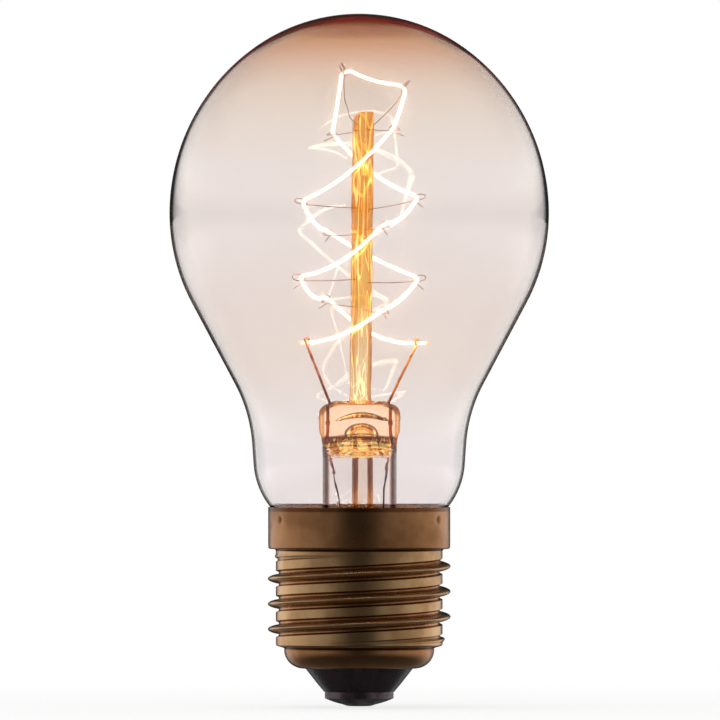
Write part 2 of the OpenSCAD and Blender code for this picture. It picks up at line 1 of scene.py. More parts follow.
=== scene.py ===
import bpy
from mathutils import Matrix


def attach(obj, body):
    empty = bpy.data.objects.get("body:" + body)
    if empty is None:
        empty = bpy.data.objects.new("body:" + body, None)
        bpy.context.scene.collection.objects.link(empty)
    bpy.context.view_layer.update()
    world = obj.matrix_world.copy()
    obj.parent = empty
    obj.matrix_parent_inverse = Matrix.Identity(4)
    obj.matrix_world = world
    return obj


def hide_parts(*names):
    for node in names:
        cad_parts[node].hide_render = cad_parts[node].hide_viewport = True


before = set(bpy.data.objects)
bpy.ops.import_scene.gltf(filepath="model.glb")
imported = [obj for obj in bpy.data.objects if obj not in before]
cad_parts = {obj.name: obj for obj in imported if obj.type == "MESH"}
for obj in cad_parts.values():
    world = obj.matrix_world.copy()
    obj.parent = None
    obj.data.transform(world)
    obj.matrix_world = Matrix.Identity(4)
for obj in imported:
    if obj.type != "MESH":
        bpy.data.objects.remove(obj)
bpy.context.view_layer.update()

import math

import bmesh
import bpy
from mathutils import Vector

# View and studio: the photograph is a level shot through a very long lens on pure white, at
# 6.95 px to the millimetre, with the lamp's axis just left of the middle.
PHOTO_PX = 720
PX_PER_M = 6950
VIEW_DISTANCE = 2
VIEW_REACH = 50
SENSOR = 36
AXIS_PX = 359.2
TIP_PX = 706
camera_data = bpy.data.cameras.new("photograph")
camera_data.sensor_width = SENSOR
camera_data.lens = SENSOR * VIEW_DISTANCE * PX_PER_M / PHOTO_PX
camera_data.clip_end = VIEW_REACH
camera = bpy.data.objects.new("photograph", camera_data)
camera.location = (
    (PHOTO_PX / 2 - AXIS_PX) / PX_PER_M,
    -VIEW_DISTANCE,
    (TIP_PX - PHOTO_PX / 2) / PX_PER_M,
)
camera.rotation_euler = (math.radians(90), 0, 0)
bpy.context.scene.collection.objects.link(camera)
bpy.context.scene.camera = camera
bpy.context.scene.view_settings.view_transform = "Standard"

# Glass behind glass takes many bounces of light.
BOUNCES = 32
bpy.context.scene.cycles.max_bounces = BOUNCES
bpy.context.scene.cycles.transmission_bounces = BOUNCES
bpy.context.scene.cycles.transparent_max_bounces = BOUNCES


class Signal:
    """What one output of a node gives at every point. A sum written with it adds Math nodes."""

    def __init__(self, socket):
        self.socket = socket
        self.tree = socket.id_data

    def __add__(self, other):
        return reckoned("ADD", self, other)

    def __sub__(self, other):
        return reckoned("SUBTRACT", self, other)

    def __rsub__(self, other):
        return reckoned("SUBTRACT", other, self)

    def __mul__(self, other):
        return reckoned("MULTIPLY", self, other)

    def __truediv__(self, other):
        return reckoned("DIVIDE", self, other)

    def __pow__(self, power):
        return reckoned("POWER", self, power)

    def __abs__(self):
        return reckoned("ABSOLUTE", self)

    def __gt__(self, other):
        return reckoned("GREATER_THAN", self, other)


def feed(socket, term):
    """Feeds an input with a signal or a node's first output, or sets it to a plain value or a
    colour."""
    if isinstance(term, Signal):
        socket.id_data.links.new(term.socket, socket)
    elif isinstance(term, bpy.types.Node):
        socket.id_data.links.new(term.outputs[0], socket)
    elif isinstance(term, tuple):
        socket.default_value = (*term, 1)
    else:
        socket.default_value = term


def node(tree, kind, inputs=None, **settings):
    """A new node with its settings and its inputs."""
    made = tree.nodes.new(kind)
    for key, value in settings.items():
        setattr(made, key, value)
    for key, term in (inputs or {}).items():
        feed(made.inputs[key], term)
    return made


def read(tree, kind, inputs=None, **settings):
    """The signals that a new node gives out, by name."""
    made = node(tree, kind, inputs, **settings)
    return {output.name: Signal(output) for output in made.outputs}


def tree_of(terms):
    return next(term.tree for term in terms if isinstance(term, Signal))


def reckoned(operation, *terms):
    """One step of arithmetic with signals and numbers."""
    inputs = dict(enumerate(terms))
    return Signal(node(tree_of(terms), "ShaderNodeMath", inputs, operation=operation).outputs[0])


def most(first, *others):
    """The greatest of several signals and numbers."""
    for other in others:
        first = reckoned("MAXIMUM", first, other)
    return first


def ramp(source, stops):
    """A colour for each value of source, from stops of (value, colour), values from 0 to 1."""
    made = node(source.tree, "ShaderNodeValToRGB", {0: source})
    marks = made.color_ramp.elements
    while len(marks) < len(stops):
        marks.new(1)
    for mark, (place, colour) in zip(marks, stops):
        mark.position = place
        mark.color = (*colour, 1)
    return Signal(made.outputs[0])


def eased(source, low, high, low_value=0, high_value=1):
    """source eased from low_value, where it is low, to high_value, where it is high."""
    made = node(source.tree, "ShaderNodeMapRange", {
        "Value": source, "From Min": low, "From Max": high,
        "To Min": low_value, "To Max": high_value,
    }, interpolation_type="SMOOTHSTEP")
    return Signal(made.outputs[0])


def mixed(share, first, second, blend="MIX"):
    """Two colours mixed, with that share of the second."""
    terms = (share, first, second)
    made = node(tree_of(terms), "ShaderNodeMix", data_type="RGBA", blend_type=blend)
    for place, term in zip((0, 6, 7), terms):
        feed(made.inputs[place], term)
    return Signal(made.outputs[2])


def grey(value):
    return (value, value, value)


# What metal and glass mirror is a ramp along the way from the back, 0, to the front, 1: dark
# straight behind the lamp and round the camera, and bright at both sides. It dims upwards and
# more so downwards. Glass shows pure white through itself, and light that was thrown about inside
# it comes from the same ramp, darker behind and with a pale ceiling above.
BLACK = grey(0)
WHITE = grey(1)
MIRRORED_LIGHT = [
    (0.0, 0.02), (0.03, 0.04), (0.05, 0.5), (0.075, 0.76), (0.14, 0.84), (0.24, 0.78),
    (0.32, 0.64), (0.455, 0.52), (0.58, 0.44), (0.764, 0.33), (0.897, 0.24), (0.95, 0.13),
    (0.98, 0.05), (1.0, 0.035),
]
EVEN_LIGHT = 0.62
CEILING = 1
studio = bpy.data.worlds.new("studio")
studio.use_nodes = True
studio.cycles.sampling_method = "NONE"
bpy.context.scene.world = studio
tree = studio.node_tree
tree.nodes.clear()
way = read(tree, "ShaderNodeSeparateXYZ", {0: read(tree, "ShaderNodeTexCoord")["Generated"]})
frontness = 0.5 - way["Y"] * 0.5
mirrored = ramp(frontness, [(place, grey(value)) for place, value in MIRRORED_LIGHT])
dimmest = eased(frontness, 0.15, 0.45, 0.03, 0.45)
upward = eased(way["Z"], 0.06, 0.5, 1, dimmest)
downward = eased(way["Z"], -0.6, -0.1, 0.12, 1)
mirrored = mixed(1, mirrored, upward * downward, "MULTIPLY")
from_behind = eased(frontness, 0.06, 0.16, 0.15, 1)
overhead = eased(way["Z"], 0.03, 0.15, 0, CEILING)
thrown_about = mixed(1, mixed(1, mirrored, from_behind, "MULTIPLY"), overhead, "ADD")
ray = read(tree, "ShaderNodeLightPath")
shone_through = mixed(ray["Glossy Depth"] > 0.5, WHITE, thrown_about)
light = mixed(ray["Is Glossy Ray"], grey(EVEN_LIGHT), mirrored)
light = mixed(ray["Is Transmission Ray"], light, shone_through)
light = mixed(ray["Is Camera Ray"], light, WHITE)
node(tree, "ShaderNodeOutputWorld", {0: node(tree, "ShaderNodeBackground", {0: light})})

# One soft lamp overhead gives the floor its shadow.
LAMP_PLACE = (-0.15, -0.1, 0.9)
LAMP_AIM = (0, 0, 0.04)
LAMP_WIDTH = 0.5
LAMP_WATTS = 3
lamp_data = bpy.data.lights.new("overhead", "AREA")
lamp_data.shape = "DISK"
lamp_data.size = LAMP_WIDTH
lamp_data.energy = LAMP_WATTS
lamp = bpy.data.objects.new("overhead", lamp_data)
lamp.location = LAMP_PLACE
lamp.rotation_euler = (Vector(LAMP_AIM) - lamp.location).to_track_quat("-Z", "Y").to_euler()
lamp.visible_camera = False
lamp.visible_glossy = False
lamp.visible_transmission = False
bpy.context.scene.collection.objects.link(lamp)


def blank_finish(name):
    """A new material and its empty node tree."""
    finish = bpy.data.materials.new(name)
    finish.use_nodes = True
    finish.node_tree.nodes.clear()
    return finish, finish.node_tree


# The floor is pale, and fades to the white of the background away from the lamp's foot.
FLOOR_REACH = 12
FLOOR_DROP = 0.0002
FLOOR_GREY = 0.9
FADE_START = 0.02
FADE_END = 0.16
floor_corners = [
    (x * FLOOR_REACH, y * FLOOR_REACH, -FLOOR_DROP) for x, y in ((-1, -1), (1, -1), (1, 1), (-1, 1))
]
floor_mesh = bpy.data.meshes.new("floor")
floor_mesh.from_pydata(floor_corners, [], [(0, 1, 2, 3)])
floor = bpy.data.objects.new("floor", floor_mesh)
floor.visible_glossy = False
bpy.context.scene.collection.objects.link(floor)
floor_finish, tree = blank_finish("pale floor")
place = read(tree, "ShaderNodeTexCoord")["Object"]
distance = read(tree, "ShaderNodeVectorMath", {0: place}, operation="LENGTH")["Value"]
ray = read(tree, "ShaderNodeLightPath")
seen = most(ray["Is Camera Ray"], ray["Is Transmission Ray"])
paint = node(
    tree, "ShaderNodeBsdfPrincipled", {"Base Color": grey(FLOOR_GREY), "Roughness": 0.9}
)
white = node(tree, "ShaderNodeEmission", {"Color": WHITE, "Strength": 1})
faded = node(tree, "ShaderNodeMixShader", {
    0: seen * eased(distance, FADE_START, FADE_END, 0.8, 1), 1: paint, 2: white,
})
node(tree, "ShaderNodeOutputMaterial", {0: faded})
floor_mesh.materials.append(floor_finish)

# Stem: a clear drawn tube, spun out hot to a flare at its foot and squeezed flat round the seal
# wires while soft, with a solid glass rod fused into the top of this press. Its amber is painted
# glow of the filament, and its dark edge lines are painted shade.
MM = 0.001
FUSE_GAP = 0.02
GLASS_WALL = 0.5
TUBE_R = 5.35
TUBE_WALL = 0.75
FLARE_START = 28.4
FLARE_BEND = 3.2
FLARE_SLOPE = 15
COLLAR_R = 12.45
STEM_SIDES = 128
STEM_X = 0.05
LOBE_START = 2.4
LOBE_EASE = 1.2


def sine(degrees):
    return math.sin(math.radians(degrees))


def cosine(degrees):
    return math.cos(math.radians(degrees))


def smooth(t):
    """t held between 0 and 1 and eased at both ends."""
    t = min(1, max(0, t))
    return t * t * (3 - 2 * t)


def walk(moves, start, heading, step=2.5):
    """The points of a turned profile. Heading 0 goes out from the axis and 90 straight down. A
    move is (radius, heading at its end) for an arc, positive where it bulges outwards, or
    (length,) for a line."""
    points = [start]
    for move in moves:
        x, z = points[-1]
        if len(move) == 1:
            points.append((x + move[0] * cosine(heading), z - move[0] * sine(heading)))
            continue
        radius, end = move
        steps = max(4, math.ceil(abs(end - heading) / step))
        for k in range(1, steps + 1):
            a = heading + (end - heading) * k / steps
            across, down = sine(a) - sine(heading), cosine(a) - cosine(heading)
            points.append((x + radius * across, z + radius * down))
        heading = end
    return points


def finished(obj, finish, nodes, crease=30):
    """Hands a mesh over: smooth faces, its material, its body and the CAD nodes it stands for."""
    bpy.context.scene.collection.objects.link(obj)
    obj.data.shade_smooth()
    obj.data.set_sharp_from_angle(angle=math.radians(crease))
    obj.data.materials.clear()
    obj.data.materials.append(finish)
    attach(obj, "root")
    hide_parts(*nodes)


def meshed(name, points, faces, marks=None, mark_name="mark"):
    """A mesh object from points in millimetres, with its doubles merged and its faces outwards.
    marks are numbers kept on the points for the finish to read."""
    mesh = bpy.data.meshes.new(name)
    mesh.from_pydata([Vector(p) * MM for p in points], [], faces)
    if marks:
        mesh.attributes.new(mark_name, "FLOAT", "POINT").data.foreach_set("value", marks)
    work = bmesh.new()
    work.from_mesh(mesh)
    bmesh.ops.remove_doubles(work, verts=work.verts, dist=1e-7)
    bmesh.ops.recalc_face_normals(work, faces=work.faces)
    work.to_mesh(mesh)
    work.free()
    return bpy.data.objects.new(name, mesh)


def oval_ring(centre, wide, deep, squareness=2.0, lift=None, pinch=0.0):
    """A closed ring of points. squareness 2 is an oval, and more squares it. lift raises points by
    x, and pinch thins the middle against the two side lobes."""
    ring = []
    for k in range(STEM_SIDES):
        c, s = cosine(360 * k / STEM_SIDES), sine(360 * k / STEM_SIDES)
        x = wide * math.copysign(abs(c) ** (2 / squareness), c)
        y = deep * math.copysign(abs(s) ** (2 / squareness), s)
        y *= 1 - pinch * (1 - smooth((abs(x) - LOBE_START) / LOBE_EASE))
        ring.append((centre[0] + x, centre[1] + y, centre[2] + (lift(x) if lift else 0)))
    return ring


def lofted(rings, first_end, last_end):
    """The points and faces of a closed skin through rings of points and its two end points."""
    sides = len(rings[0])
    points = [p for ring in rings for p in ring] + [first_end, last_end]
    faces = []
    for i in range(len(rings) - 1):
        low, high = i * sides, (i + 1) * sides
        for k in range(sides):
            n = (k + 1) % sides
            faces.append([low + k, low + n, high + n, high + k])
    last = (len(rings) - 1) * sides
    for k in range(sides):
        faces.append([k, (k + 1) % sides, len(points) - 2])
        faces.append([last + k, last + (k + 1) % sides, len(points) - 1])
    return points, faces


def eased_between(stops, z):
    """The values at z, eased between stops of (z, value, value, ...)."""
    for low, high in zip(stops, stops[1:]):
        if z <= high[0]:
            t = smooth((z - low[0]) / (high[0] - low[0]))
            return tuple(a + (b - a) * t for a, b in zip(low[1:], high[1:]))
    return stops[-1][1:]


# The flare and the tube, from the rim of the flare up to the press. The short move at the press
# keeps the tube's shading straight.
PRESS_FOOT = 35.6
TUBE_TIE = 0.15
rim_r = COLLAR_R - GLASS_WALL - FUSE_GAP


def flare_profile(inset):
    bend_in = (FLARE_BEND + inset) * (1 - sine(FLARE_SLOPE))
    run = (rim_r - TUBE_R + inset - bend_in) / cosine(FLARE_SLOPE)
    moves = [
        (TUBE_TIE,), (PRESS_FOOT - FLARE_START - TUBE_TIE,), (-FLARE_BEND - inset, FLARE_SLOPE),
        (run,),
    ]
    return walk(moves, (TUBE_R - inset, PRESS_FOOT), 90)[::-1]


tube_skin = [oval_ring((STEM_X, 0, z), r, r) for r, z in flare_profile(0)[:-1]]
tube_bore = [oval_ring((STEM_X, 0, z), r, r) for r, z in flare_profile(TUBE_WALL)[:-1]]

# The flattened glass: height, half width, half depth, squareness and pinch, from its foot up.
SHOULDER_Z = 42.1
SHOULDER_WIDE = 5.85
SHOULDER_DEEP = 2.3
SHOULDER_IN = 1.5
SHOULDER_THINS = 0.85
TOP_Z = 43.6
TOP_DEEP = 1.45
HUMP = 0.42
PRESS_ROW = 0.2
PRESS_SHAPE = [
    (PRESS_FOOT, TUBE_R, TUBE_R, 2, 0), (36.2, 5.36, 4.9, 2.1, 0), (37.4, 5.4, 3.2, 2.5, 0.03),
    (38.4, 5.5, 2.45, 3.2, 0.1), (39.8, 5.85, 2.35, 3.6, 0.14), (41.5, 5.9, 2.35, 3.6, 0.14),
    (SHOULDER_Z, SHOULDER_WIDE, SHOULDER_DEEP, 3.6, 0.1),
]
press_skin = []
for k in range(33):
    z = PRESS_FOOT + PRESS_ROW * k
    wide, deep, square, pinch = eased_between(PRESS_SHAPE, z)
    press_skin.append(oval_ring((STEM_X, 0, z), wide, deep, square, pinch=pinch))
for k in range(9):
    turn = 90 * k / 8
    away = 1 - cosine(turn)
    press_skin.append(oval_ring(
        (STEM_X, 0, SHOULDER_Z + (TOP_Z - SHOULDER_Z) * sine(turn)),
        SHOULDER_WIDE - SHOULDER_IN * away, SHOULDER_DEEP - SHOULDER_THINS * away,
        3.6 - 0.12 * k, pinch=0.1 * (1 - k / 8),
    ))
# The top of the press closes in on the rod over a low hump.
ROD_R = 1.55
ROD_FOOT_WIDE = ROD_R + 0.35
ROD_FOOT_DEEP = ROD_R + 0.2
top_wide = SHOULDER_WIDE - SHOULDER_IN
for k in range(1, 9):
    t = k / 8
    press_skin.append(oval_ring(
        (STEM_X + 0.1 * t, 0, TOP_Z + HUMP * math.sin(math.pi * t ** 0.8)),
        top_wide + (ROD_FOOT_WIDE - top_wide) * t, TOP_DEEP + (ROD_FOOT_DEEP - TOP_DEEP) * t * t,
        2.6 - 0.6 * t,
    ))

# The rod leans a little, is slightly uneven, and is flame rounded at its end, more at the left.
ROD_TOP = 85.5
ROD_FOOT = 43.2
ROD_FOOT_X = 0.15
ROD_LEAN = 0.6
END_IN = 1.25
LEFT_DROP = 1.9
RIGHT_DROP = 0.35
FILLET_Z = 43.7
FILLET_WIDE = 0.3
FILLET_HIGH = 0.35
# How much the rod's radius wavers, how quickly with height, and where it starts.
ROD_WAVERS = [(0.03, 0.53, 0), (0.02, 1.31, 2)]


def rod_x(z):
    return ROD_FOOT_X + (z - ROD_FOOT) * math.tan(math.radians(ROD_LEAN))


rod_skin = []
for z in [43.9, 44.15, 44.5, 45.1] + [46 + 0.75 * k for k in range(50)]:
    r = ROD_R + FILLET_WIDE * math.exp((FILLET_Z - z) / FILLET_HIGH)
    for waver, rate, start in ROD_WAVERS:
        r += waver * math.sin(z * rate + start)
    rod_skin.append(oval_ring((rod_x(z), 0, z), r, r))
for k in range(13):
    turn = 90 * k / 12
    shrunk = END_IN * (1 - cosine(turn)) / 2
    r = ROD_R - shrunk

    def end_lift(x, r=r, turn=turn):
        left = (1 - x / r) / 2
        return (RIGHT_DROP + (LEFT_DROP - RIGHT_DROP) * left) * (sine(turn) - 1)

    rod_skin.append(oval_ring((rod_x(ROD_TOP) + shrunk, 0, ROD_TOP), r, r, lift=end_lift))
rod_end = (rod_x(ROD_TOP) + END_IN / 2, 0, ROD_TOP)

# The tube's bore closes at the foot of the press, in a ceiling that the squeezing left scalloped.
BORE_SHAPE = [
    (PRESS_FOOT, 4.6, 4.6), (35.8, 4.58, 4.3), (36.05, 4.5, 3.3), (36.25, 4.3, 1.9),
    (36.4, 3.9, 0.6),
]
BORE_ROW = 0.05
BORE_RISE = 0.8
SCALLOP = 0.35
SCALLOP_WIDTH = 3.3
SCALLOP_X = -2.6


def scallop(x):
    return -SCALLOP * cosine(360 * (x - SCALLOP_X) / SCALLOP_WIDTH)


press_bore = []
for k in range(17):
    z = PRESS_FOOT + BORE_ROW * k
    wide, deep = eased_between(BORE_SHAPE, z)
    rise = k / 16
    press_bore.append(oval_ring(
        (STEM_X, 0, z), wide, deep, 2 + 0.6 * rise,
        lift=lambda x, rise=rise: scallop(x) * rise ** 2,
    ))
bore_rings = press_bore[::-1] + tube_bore[::-1]
skin_rings = tube_skin + press_skin + rod_skin
bore_end = (STEM_X, 0, PRESS_FOOT + BORE_RISE + scallop(STEM_X))
stem_points, stem_faces = lofted(bore_rings + skin_rings, bore_end, rod_end)
# Every point is marked as in the bore, on the skin or on a bubble.
IN_BORE, ON_SKIN, ON_BUBBLE = 0, 1, 2
stem_marks = (
    [IN_BORE] * STEM_SIDES * len(bore_rings) + [ON_SKIN] * STEM_SIDES * len(skin_rings)
    + [IN_BORE, ON_SKIN]
)


def bubble(centre, wide, deep, high, bow, sides=32, steps=36):
    """A gas bubble left in the glass: a lens that lies along x, bowed up in the middle by bow."""
    x, y, z = centre
    turns = [360 * k / sides for k in range(sides)]
    rings = []
    for i in range(1, steps):
        t = -cosine(180 * i / steps)
        fat = math.sqrt(1 - t * t)
        raised = z + bow * (1 - t * t)
        rings.append([
            (x + wide * t, y + deep * fat * cosine(a), raised + high * fat * sine(a))
            for a in turns
        ])
    return lofted(rings, (x - wide, y, z), (x + wide, y, z))


# A flat arched bubble and the blow hole, which the exhaust tube opens into.
BUBBLE_X = 0.35
BLOW_HOLE_Z = 39.0
stem_work = bmesh.new()
for part in (
    bubble((BUBBLE_X, 0.1, 41.1), 3.5, 1.05, 0.32, 0.78),
    bubble((BUBBLE_X, 0, BLOW_HOLE_Z), 2.15, 1.25, 1.5, 0.3),
):
    void = meshed("void", *part, [ON_BUBBLE] * len(part[0]), "surface")
    stem_work.from_mesh(void.data)
    bpy.data.meshes.remove(void.data)
bmesh.ops.reverse_faces(stem_work, faces=stem_work.faces)
body = meshed("body", stem_points, stem_faces, stem_marks, "surface")
stem_work.from_mesh(body.data)
bpy.data.meshes.remove(body.data)
stem = bpy.data.objects.new("stem_press_and_rod", bpy.data.meshes.new("stem_press_and_rod"))
stem_work.to_mesh(stem.data)
stem_work.free()


def node_group(name, inputs, outputs):
    """A shader node group, the signals that it is given, and the sockets of its results."""
    group = bpy.data.node_groups.new(name, "ShaderNodeTree")
    for in_out, sockets in (("INPUT", inputs), ("OUTPUT", outputs)):
        for key, kind in sockets.items():
            group.interface.new_socket(name=key, in_out=in_out, socket_type="NodeSocket" + kind)
    return group, read(group, "NodeGroupInput"), node(group, "NodeGroupOutput").inputs


# How high a point lies on the lamp, as 0 at Low and 1 at High, both in metres.
height_group, given, result = node_group(
    "height on the lamp", {"Low": "Float", "High": "Float"}, {"Height": "Float"}
)
place = read(height_group, "ShaderNodeTexCoord")["Object"]
feed(result["Height"], node(height_group, "ShaderNodeMapRange", {
    "Value": read(height_group, "ShaderNodeSeparateXYZ", {0: place})["Z"],
    "From Min": given["Low"], "From Max": given["High"],
}))

# Cords and ripples of drawn glass: Ripple is a height for a bump, and Cord a value for a colour.
glass_group, given, result = node_group(
    "drawn glass", {"Across": "Float", "Upwards": "Float"}, {"Ripple": "Float", "Cord": "Float"}
)
place = read(glass_group, "ShaderNodeTexCoord")["Object"]
stretch = node(glass_group, "ShaderNodeCombineXYZ", {
    0: given["Across"], 1: given["Across"], 2: given["Upwards"],
})
drawn = node(glass_group, "ShaderNodeVectorMath", {0: place, 1: stretch}, operation="MULTIPLY")
feed(result["Ripple"], read(glass_group, "ShaderNodeTexNoise", {
    "Vector": drawn, "Scale": 1, "Detail": 2,
})["Fac"])
feed(result["Cord"], read(glass_group, "ShaderNodeTexNoise", {
    "Vector": drawn, "Scale": 1.7, "Detail": 1.2, "Roughness": 0.5, "Distortion": 0.6,
})["Fac"])


def placed_group(tree, group, **values):
    """A node group placed in a material with its own values: the signals that it gives out."""
    return read(tree, "ShaderNodeGroup", values, node_tree=group)


def height_ramp(tree, stops):
    """A colour for each height on the lamp, from stops of (height in millimetres, colour)."""
    low, high = stops[0][0], stops[-1][0]
    level = placed_group(tree, height_group, Low=low * MM, High=high * MM)["Height"]
    return ramp(level, [((z - low) / (high - low), colour) for z, colour in stops])


def turned_away(tree):
    """How much a surface turns away from the eye: 0 face on and 1 edge on."""
    return read(tree, "ShaderNodeLayerWeight", {"Blend": 0.5})["Facing"]


def kept_mark(tree, name):
    """The number that a mesh keeps on its points under that name."""
    return read(tree, "ShaderNodeAttribute", attribute_name=name)["Fac"]


SHADOW_TINT = (0.93, 0.9, 0.87)


def clear_glass(name, across, upwards, depth, mirror_tint=WHITE):
    """A glass finish: its material, tree and shader, and what the drawn glass group gives. Lamps
    shine through it, so it throws a pale shadow. depth is the height of its ripples, in
    millimetres, and mirror_tint the colour of all that it mirrors."""
    finish, tree = blank_finish(name)
    grain = placed_group(tree, glass_group, Across=across, Upwards=upwards)
    bump = node(tree, "ShaderNodeBump", {
        "Strength": 1, "Distance": depth * MM, "Height": grain["Ripple"],
    })
    glass = node(tree, "ShaderNodeBsdfPrincipled", {
        "Transmission Weight": 1, "IOR": 1.5, "Roughness": 0, "Specular Tint": mirror_tint,
        "Normal": bump,
    })
    clear = node(tree, "ShaderNodeBsdfTransparent", {"Color": SHADOW_TINT})
    shadow_ray = read(tree, "ShaderNodeLightPath")["Is Shadow Ray"]
    passed = node(tree, "ShaderNodeMixShader", {0: shadow_ray, 1: glass, 2: clear})
    node(tree, "ShaderNodeOutputMaterial", {0: passed})
    return finish, tree, glass, grain


def near(source, centre, width):
    """1 where source is at centre, easing to 0 at width either side of it."""
    return eased(abs(source - centre), 0, width, 1, 0)


stem_finish, tree, glass, grain = clear_glass("stem glass, painted amber glow", 560, 50, 0.05, (0.6, 0.25, 0.1))
away = turned_away(tree)
surface_mark = kept_mark(tree, "surface")
on_skin = near(surface_mark, ON_SKIN, 0.6)
on_bubble = eased(surface_mark, 1.4, 1.9)
cords = eased(grain["Cord"], 0.36, 0.66)
# The tube's skin is painted dark where it turns edge on: painted shade for the dark surroundings
# seen through its wall.
tube_painted_edges = ramp(away, [
    (0.0, (0.97, 0.95, 0.95)), (0.38, (0.97, 0.95, 0.95)), (0.45, (0.2, 0.06, 0.04)),
    (0.5, (0.003, 0.0004, 0.0002)), (0.62, (0.003, 0.0005, 0.0003)), (0.74, (0.08, 0.03, 0.02)),
    (1.0, (0.35, 0.22, 0.18)),
])
tube_painted_edges = mixed(on_skin, (0.98, 0.96, 0.95), tube_painted_edges)

# Painted glow and painted shade: the press is painted amber along the edges of its bubbles, in
# its shoulders and in its foot, with painted dark edges and lines, for the filament's light and
# the dark surroundings seen through the glass. Each is drawn from how far a point lies from that
# edge, in millimetres on the lamp.
ARCH_HALF = 2.25
ARCH_HIGH = 1.62
BROW_HALF = 3.7
BROW_Z = 41.12
BROW_BOW = 0.82
BROW_THICK = 0.33
SIDE_X = 5.8
CORNER_Z = 40
CORNER_HIGH = 3.7
FOLD_Z = 38.7
WAVY_LIP_Z = 36.4
WAVE = 0.22
CORNER_RISE = 1.1
RIPPLE_Z = 37.5
RIPPLE_WAVE = 0.6
place = read(tree, "ShaderNodeTexCoord")["Object"]
along_lamp = read(tree, "ShaderNodeSeparateXYZ", {0: place})
x_mm, z_mm = along_lamp["X"] / MM, along_lamp["Z"] / MM
x_off = x_mm - BUBBLE_X
x_out = abs(x_mm - STEM_X)
# Blow hole: an arch with a painted bright ring inside its painted dark edge.
over_foot = eased(z_mm, 38.4, 38.9)
arch = (abs(x_off / ARCH_HALF) ** 2 + abs((z_mm - BLOW_HOLE_Z) / ARCH_HIGH) ** 2) ** 0.5
arch_edge = near(arch, 1.02, 0.13) * over_foot
arch_ring = near(arch, 0.82, 0.16) * over_foot
# Flat bubble above it: a brow, painted brighter at the left and painted darker at the right.
brow_share = most(1 - abs(x_off / BROW_HALF) ** 2, 0.001)
brow = abs(z_mm - (brow_share * BROW_BOW + BROW_Z)) / (brow_share ** 0.5 * BROW_THICK)
brow_edge = near(brow, 1, 0.5)
brow_inside = eased(brow, 0.6, 1, 1, 0)
brow_painted_shade = brow_inside * eased(x_mm, 1.4, 2.6)
# Shoulders and sides: painted shade in the upper corners and a painted dark line down each side.
side = x_out / SIDE_X
high = most(z_mm - CORNER_Z, 0) / CORNER_HIGH
shoulder = eased(side ** 4 + high ** 4, 0.6, 0.78) * eased(side, 0.52, 0.68)
shoulder = shoulder * eased(high, 0.4, 0.62)
side_line = near(side, 0.9, 0.05) * eased(z_mm, 38.4, 39.2)
# Foot: a painted dark line at the fold that thickens outwards, painted amber glow below it, and a
# painted dark line along a wavy lip whose corners rise.
fold = abs(z_mm - (x_out * -0.1 + FOLD_Z)) / (x_out * 0.13 + 0.12)
fold = eased(fold, 0.6, 1.2, 1, 0)
wave = reckoned("COSINE", (x_mm - SCALLOP_X) * (2 * math.pi / SCALLOP_WIDTH))
over_lip = z_mm - (wave * -WAVE + WAVY_LIP_Z + eased(x_out, 3.5, 5.3, 0, CORNER_RISE))
in_press = eased(over_lip, -0.16, 0.04)
in_foot = eased(z_mm, 38.3, 38.7, 1, 0) * in_press
lip = near(over_lip, 0.12, 0.2)
foot_ripple = near(z_mm - (wave * -RIPPLE_WAVE + RIPPLE_Z), 0, 0.2)

painted_glow_part = most(arch_ring, brow_inside, in_foot)
painted_shade_part = most(arch_edge, brow_edge, shoulder, fold, brow_painted_shade)
painted_line_part = most(lip, foot_ripple, side_line)
# The press is painted darker where its surface turns edge on: painted shade.
press_glow_and_shade = ramp(away, [
    (0.0, (1, 0.88, 0.67)), (0.1, (1, 0.86, 0.61)), (0.22, (0.98, 0.6, 0.27)),
    (0.38, (0.68, 0.25, 0.05)), (0.6, (0.24, 0.06, 0.01)), (0.85, (0.12, 0.03, 0.008)),
    (1.0, (0.5, 0.22, 0.05)),
])
painted_glow_tone = ramp(cords, [
    (0.0, (0.7, 0.27, 0.04)), (0.5, (0.92, 0.46, 0.12)), (1.0, (1, 0.8, 0.3)),
])
painted_shade_tone = ramp(cords, [
    (0.0, (0.03, 0.003, 0.0005)), (0.6, (0.09, 0.012, 0.001)), (1.0, (0.22, 0.045, 0.004)),
])
press_glow_and_shade = mixed(painted_glow_part, press_glow_and_shade, painted_glow_tone)
press_glow_and_shade = mixed(painted_line_part * 0.85, press_glow_and_shade, (0.3, 0.06, 0.003))
press_glow_and_shade = mixed(painted_shade_part, press_glow_and_shade, painted_shade_tone)
# The bubbles' own skins are painted dark amber where they turn edge on: painted shade.
bubble_painted_edges = ramp(away, [
    (0.0, (1, 0.84, 0.5)), (0.22, (0.95, 0.6, 0.2)), (0.5, (0.22, 0.035, 0.004)),
    (1.0, (0.06, 0.008, 0.001)),
])
press_glow_and_shade = mixed(on_skin, mixed(on_bubble, (1, 0.9, 0.72), bubble_painted_edges), press_glow_and_shade)

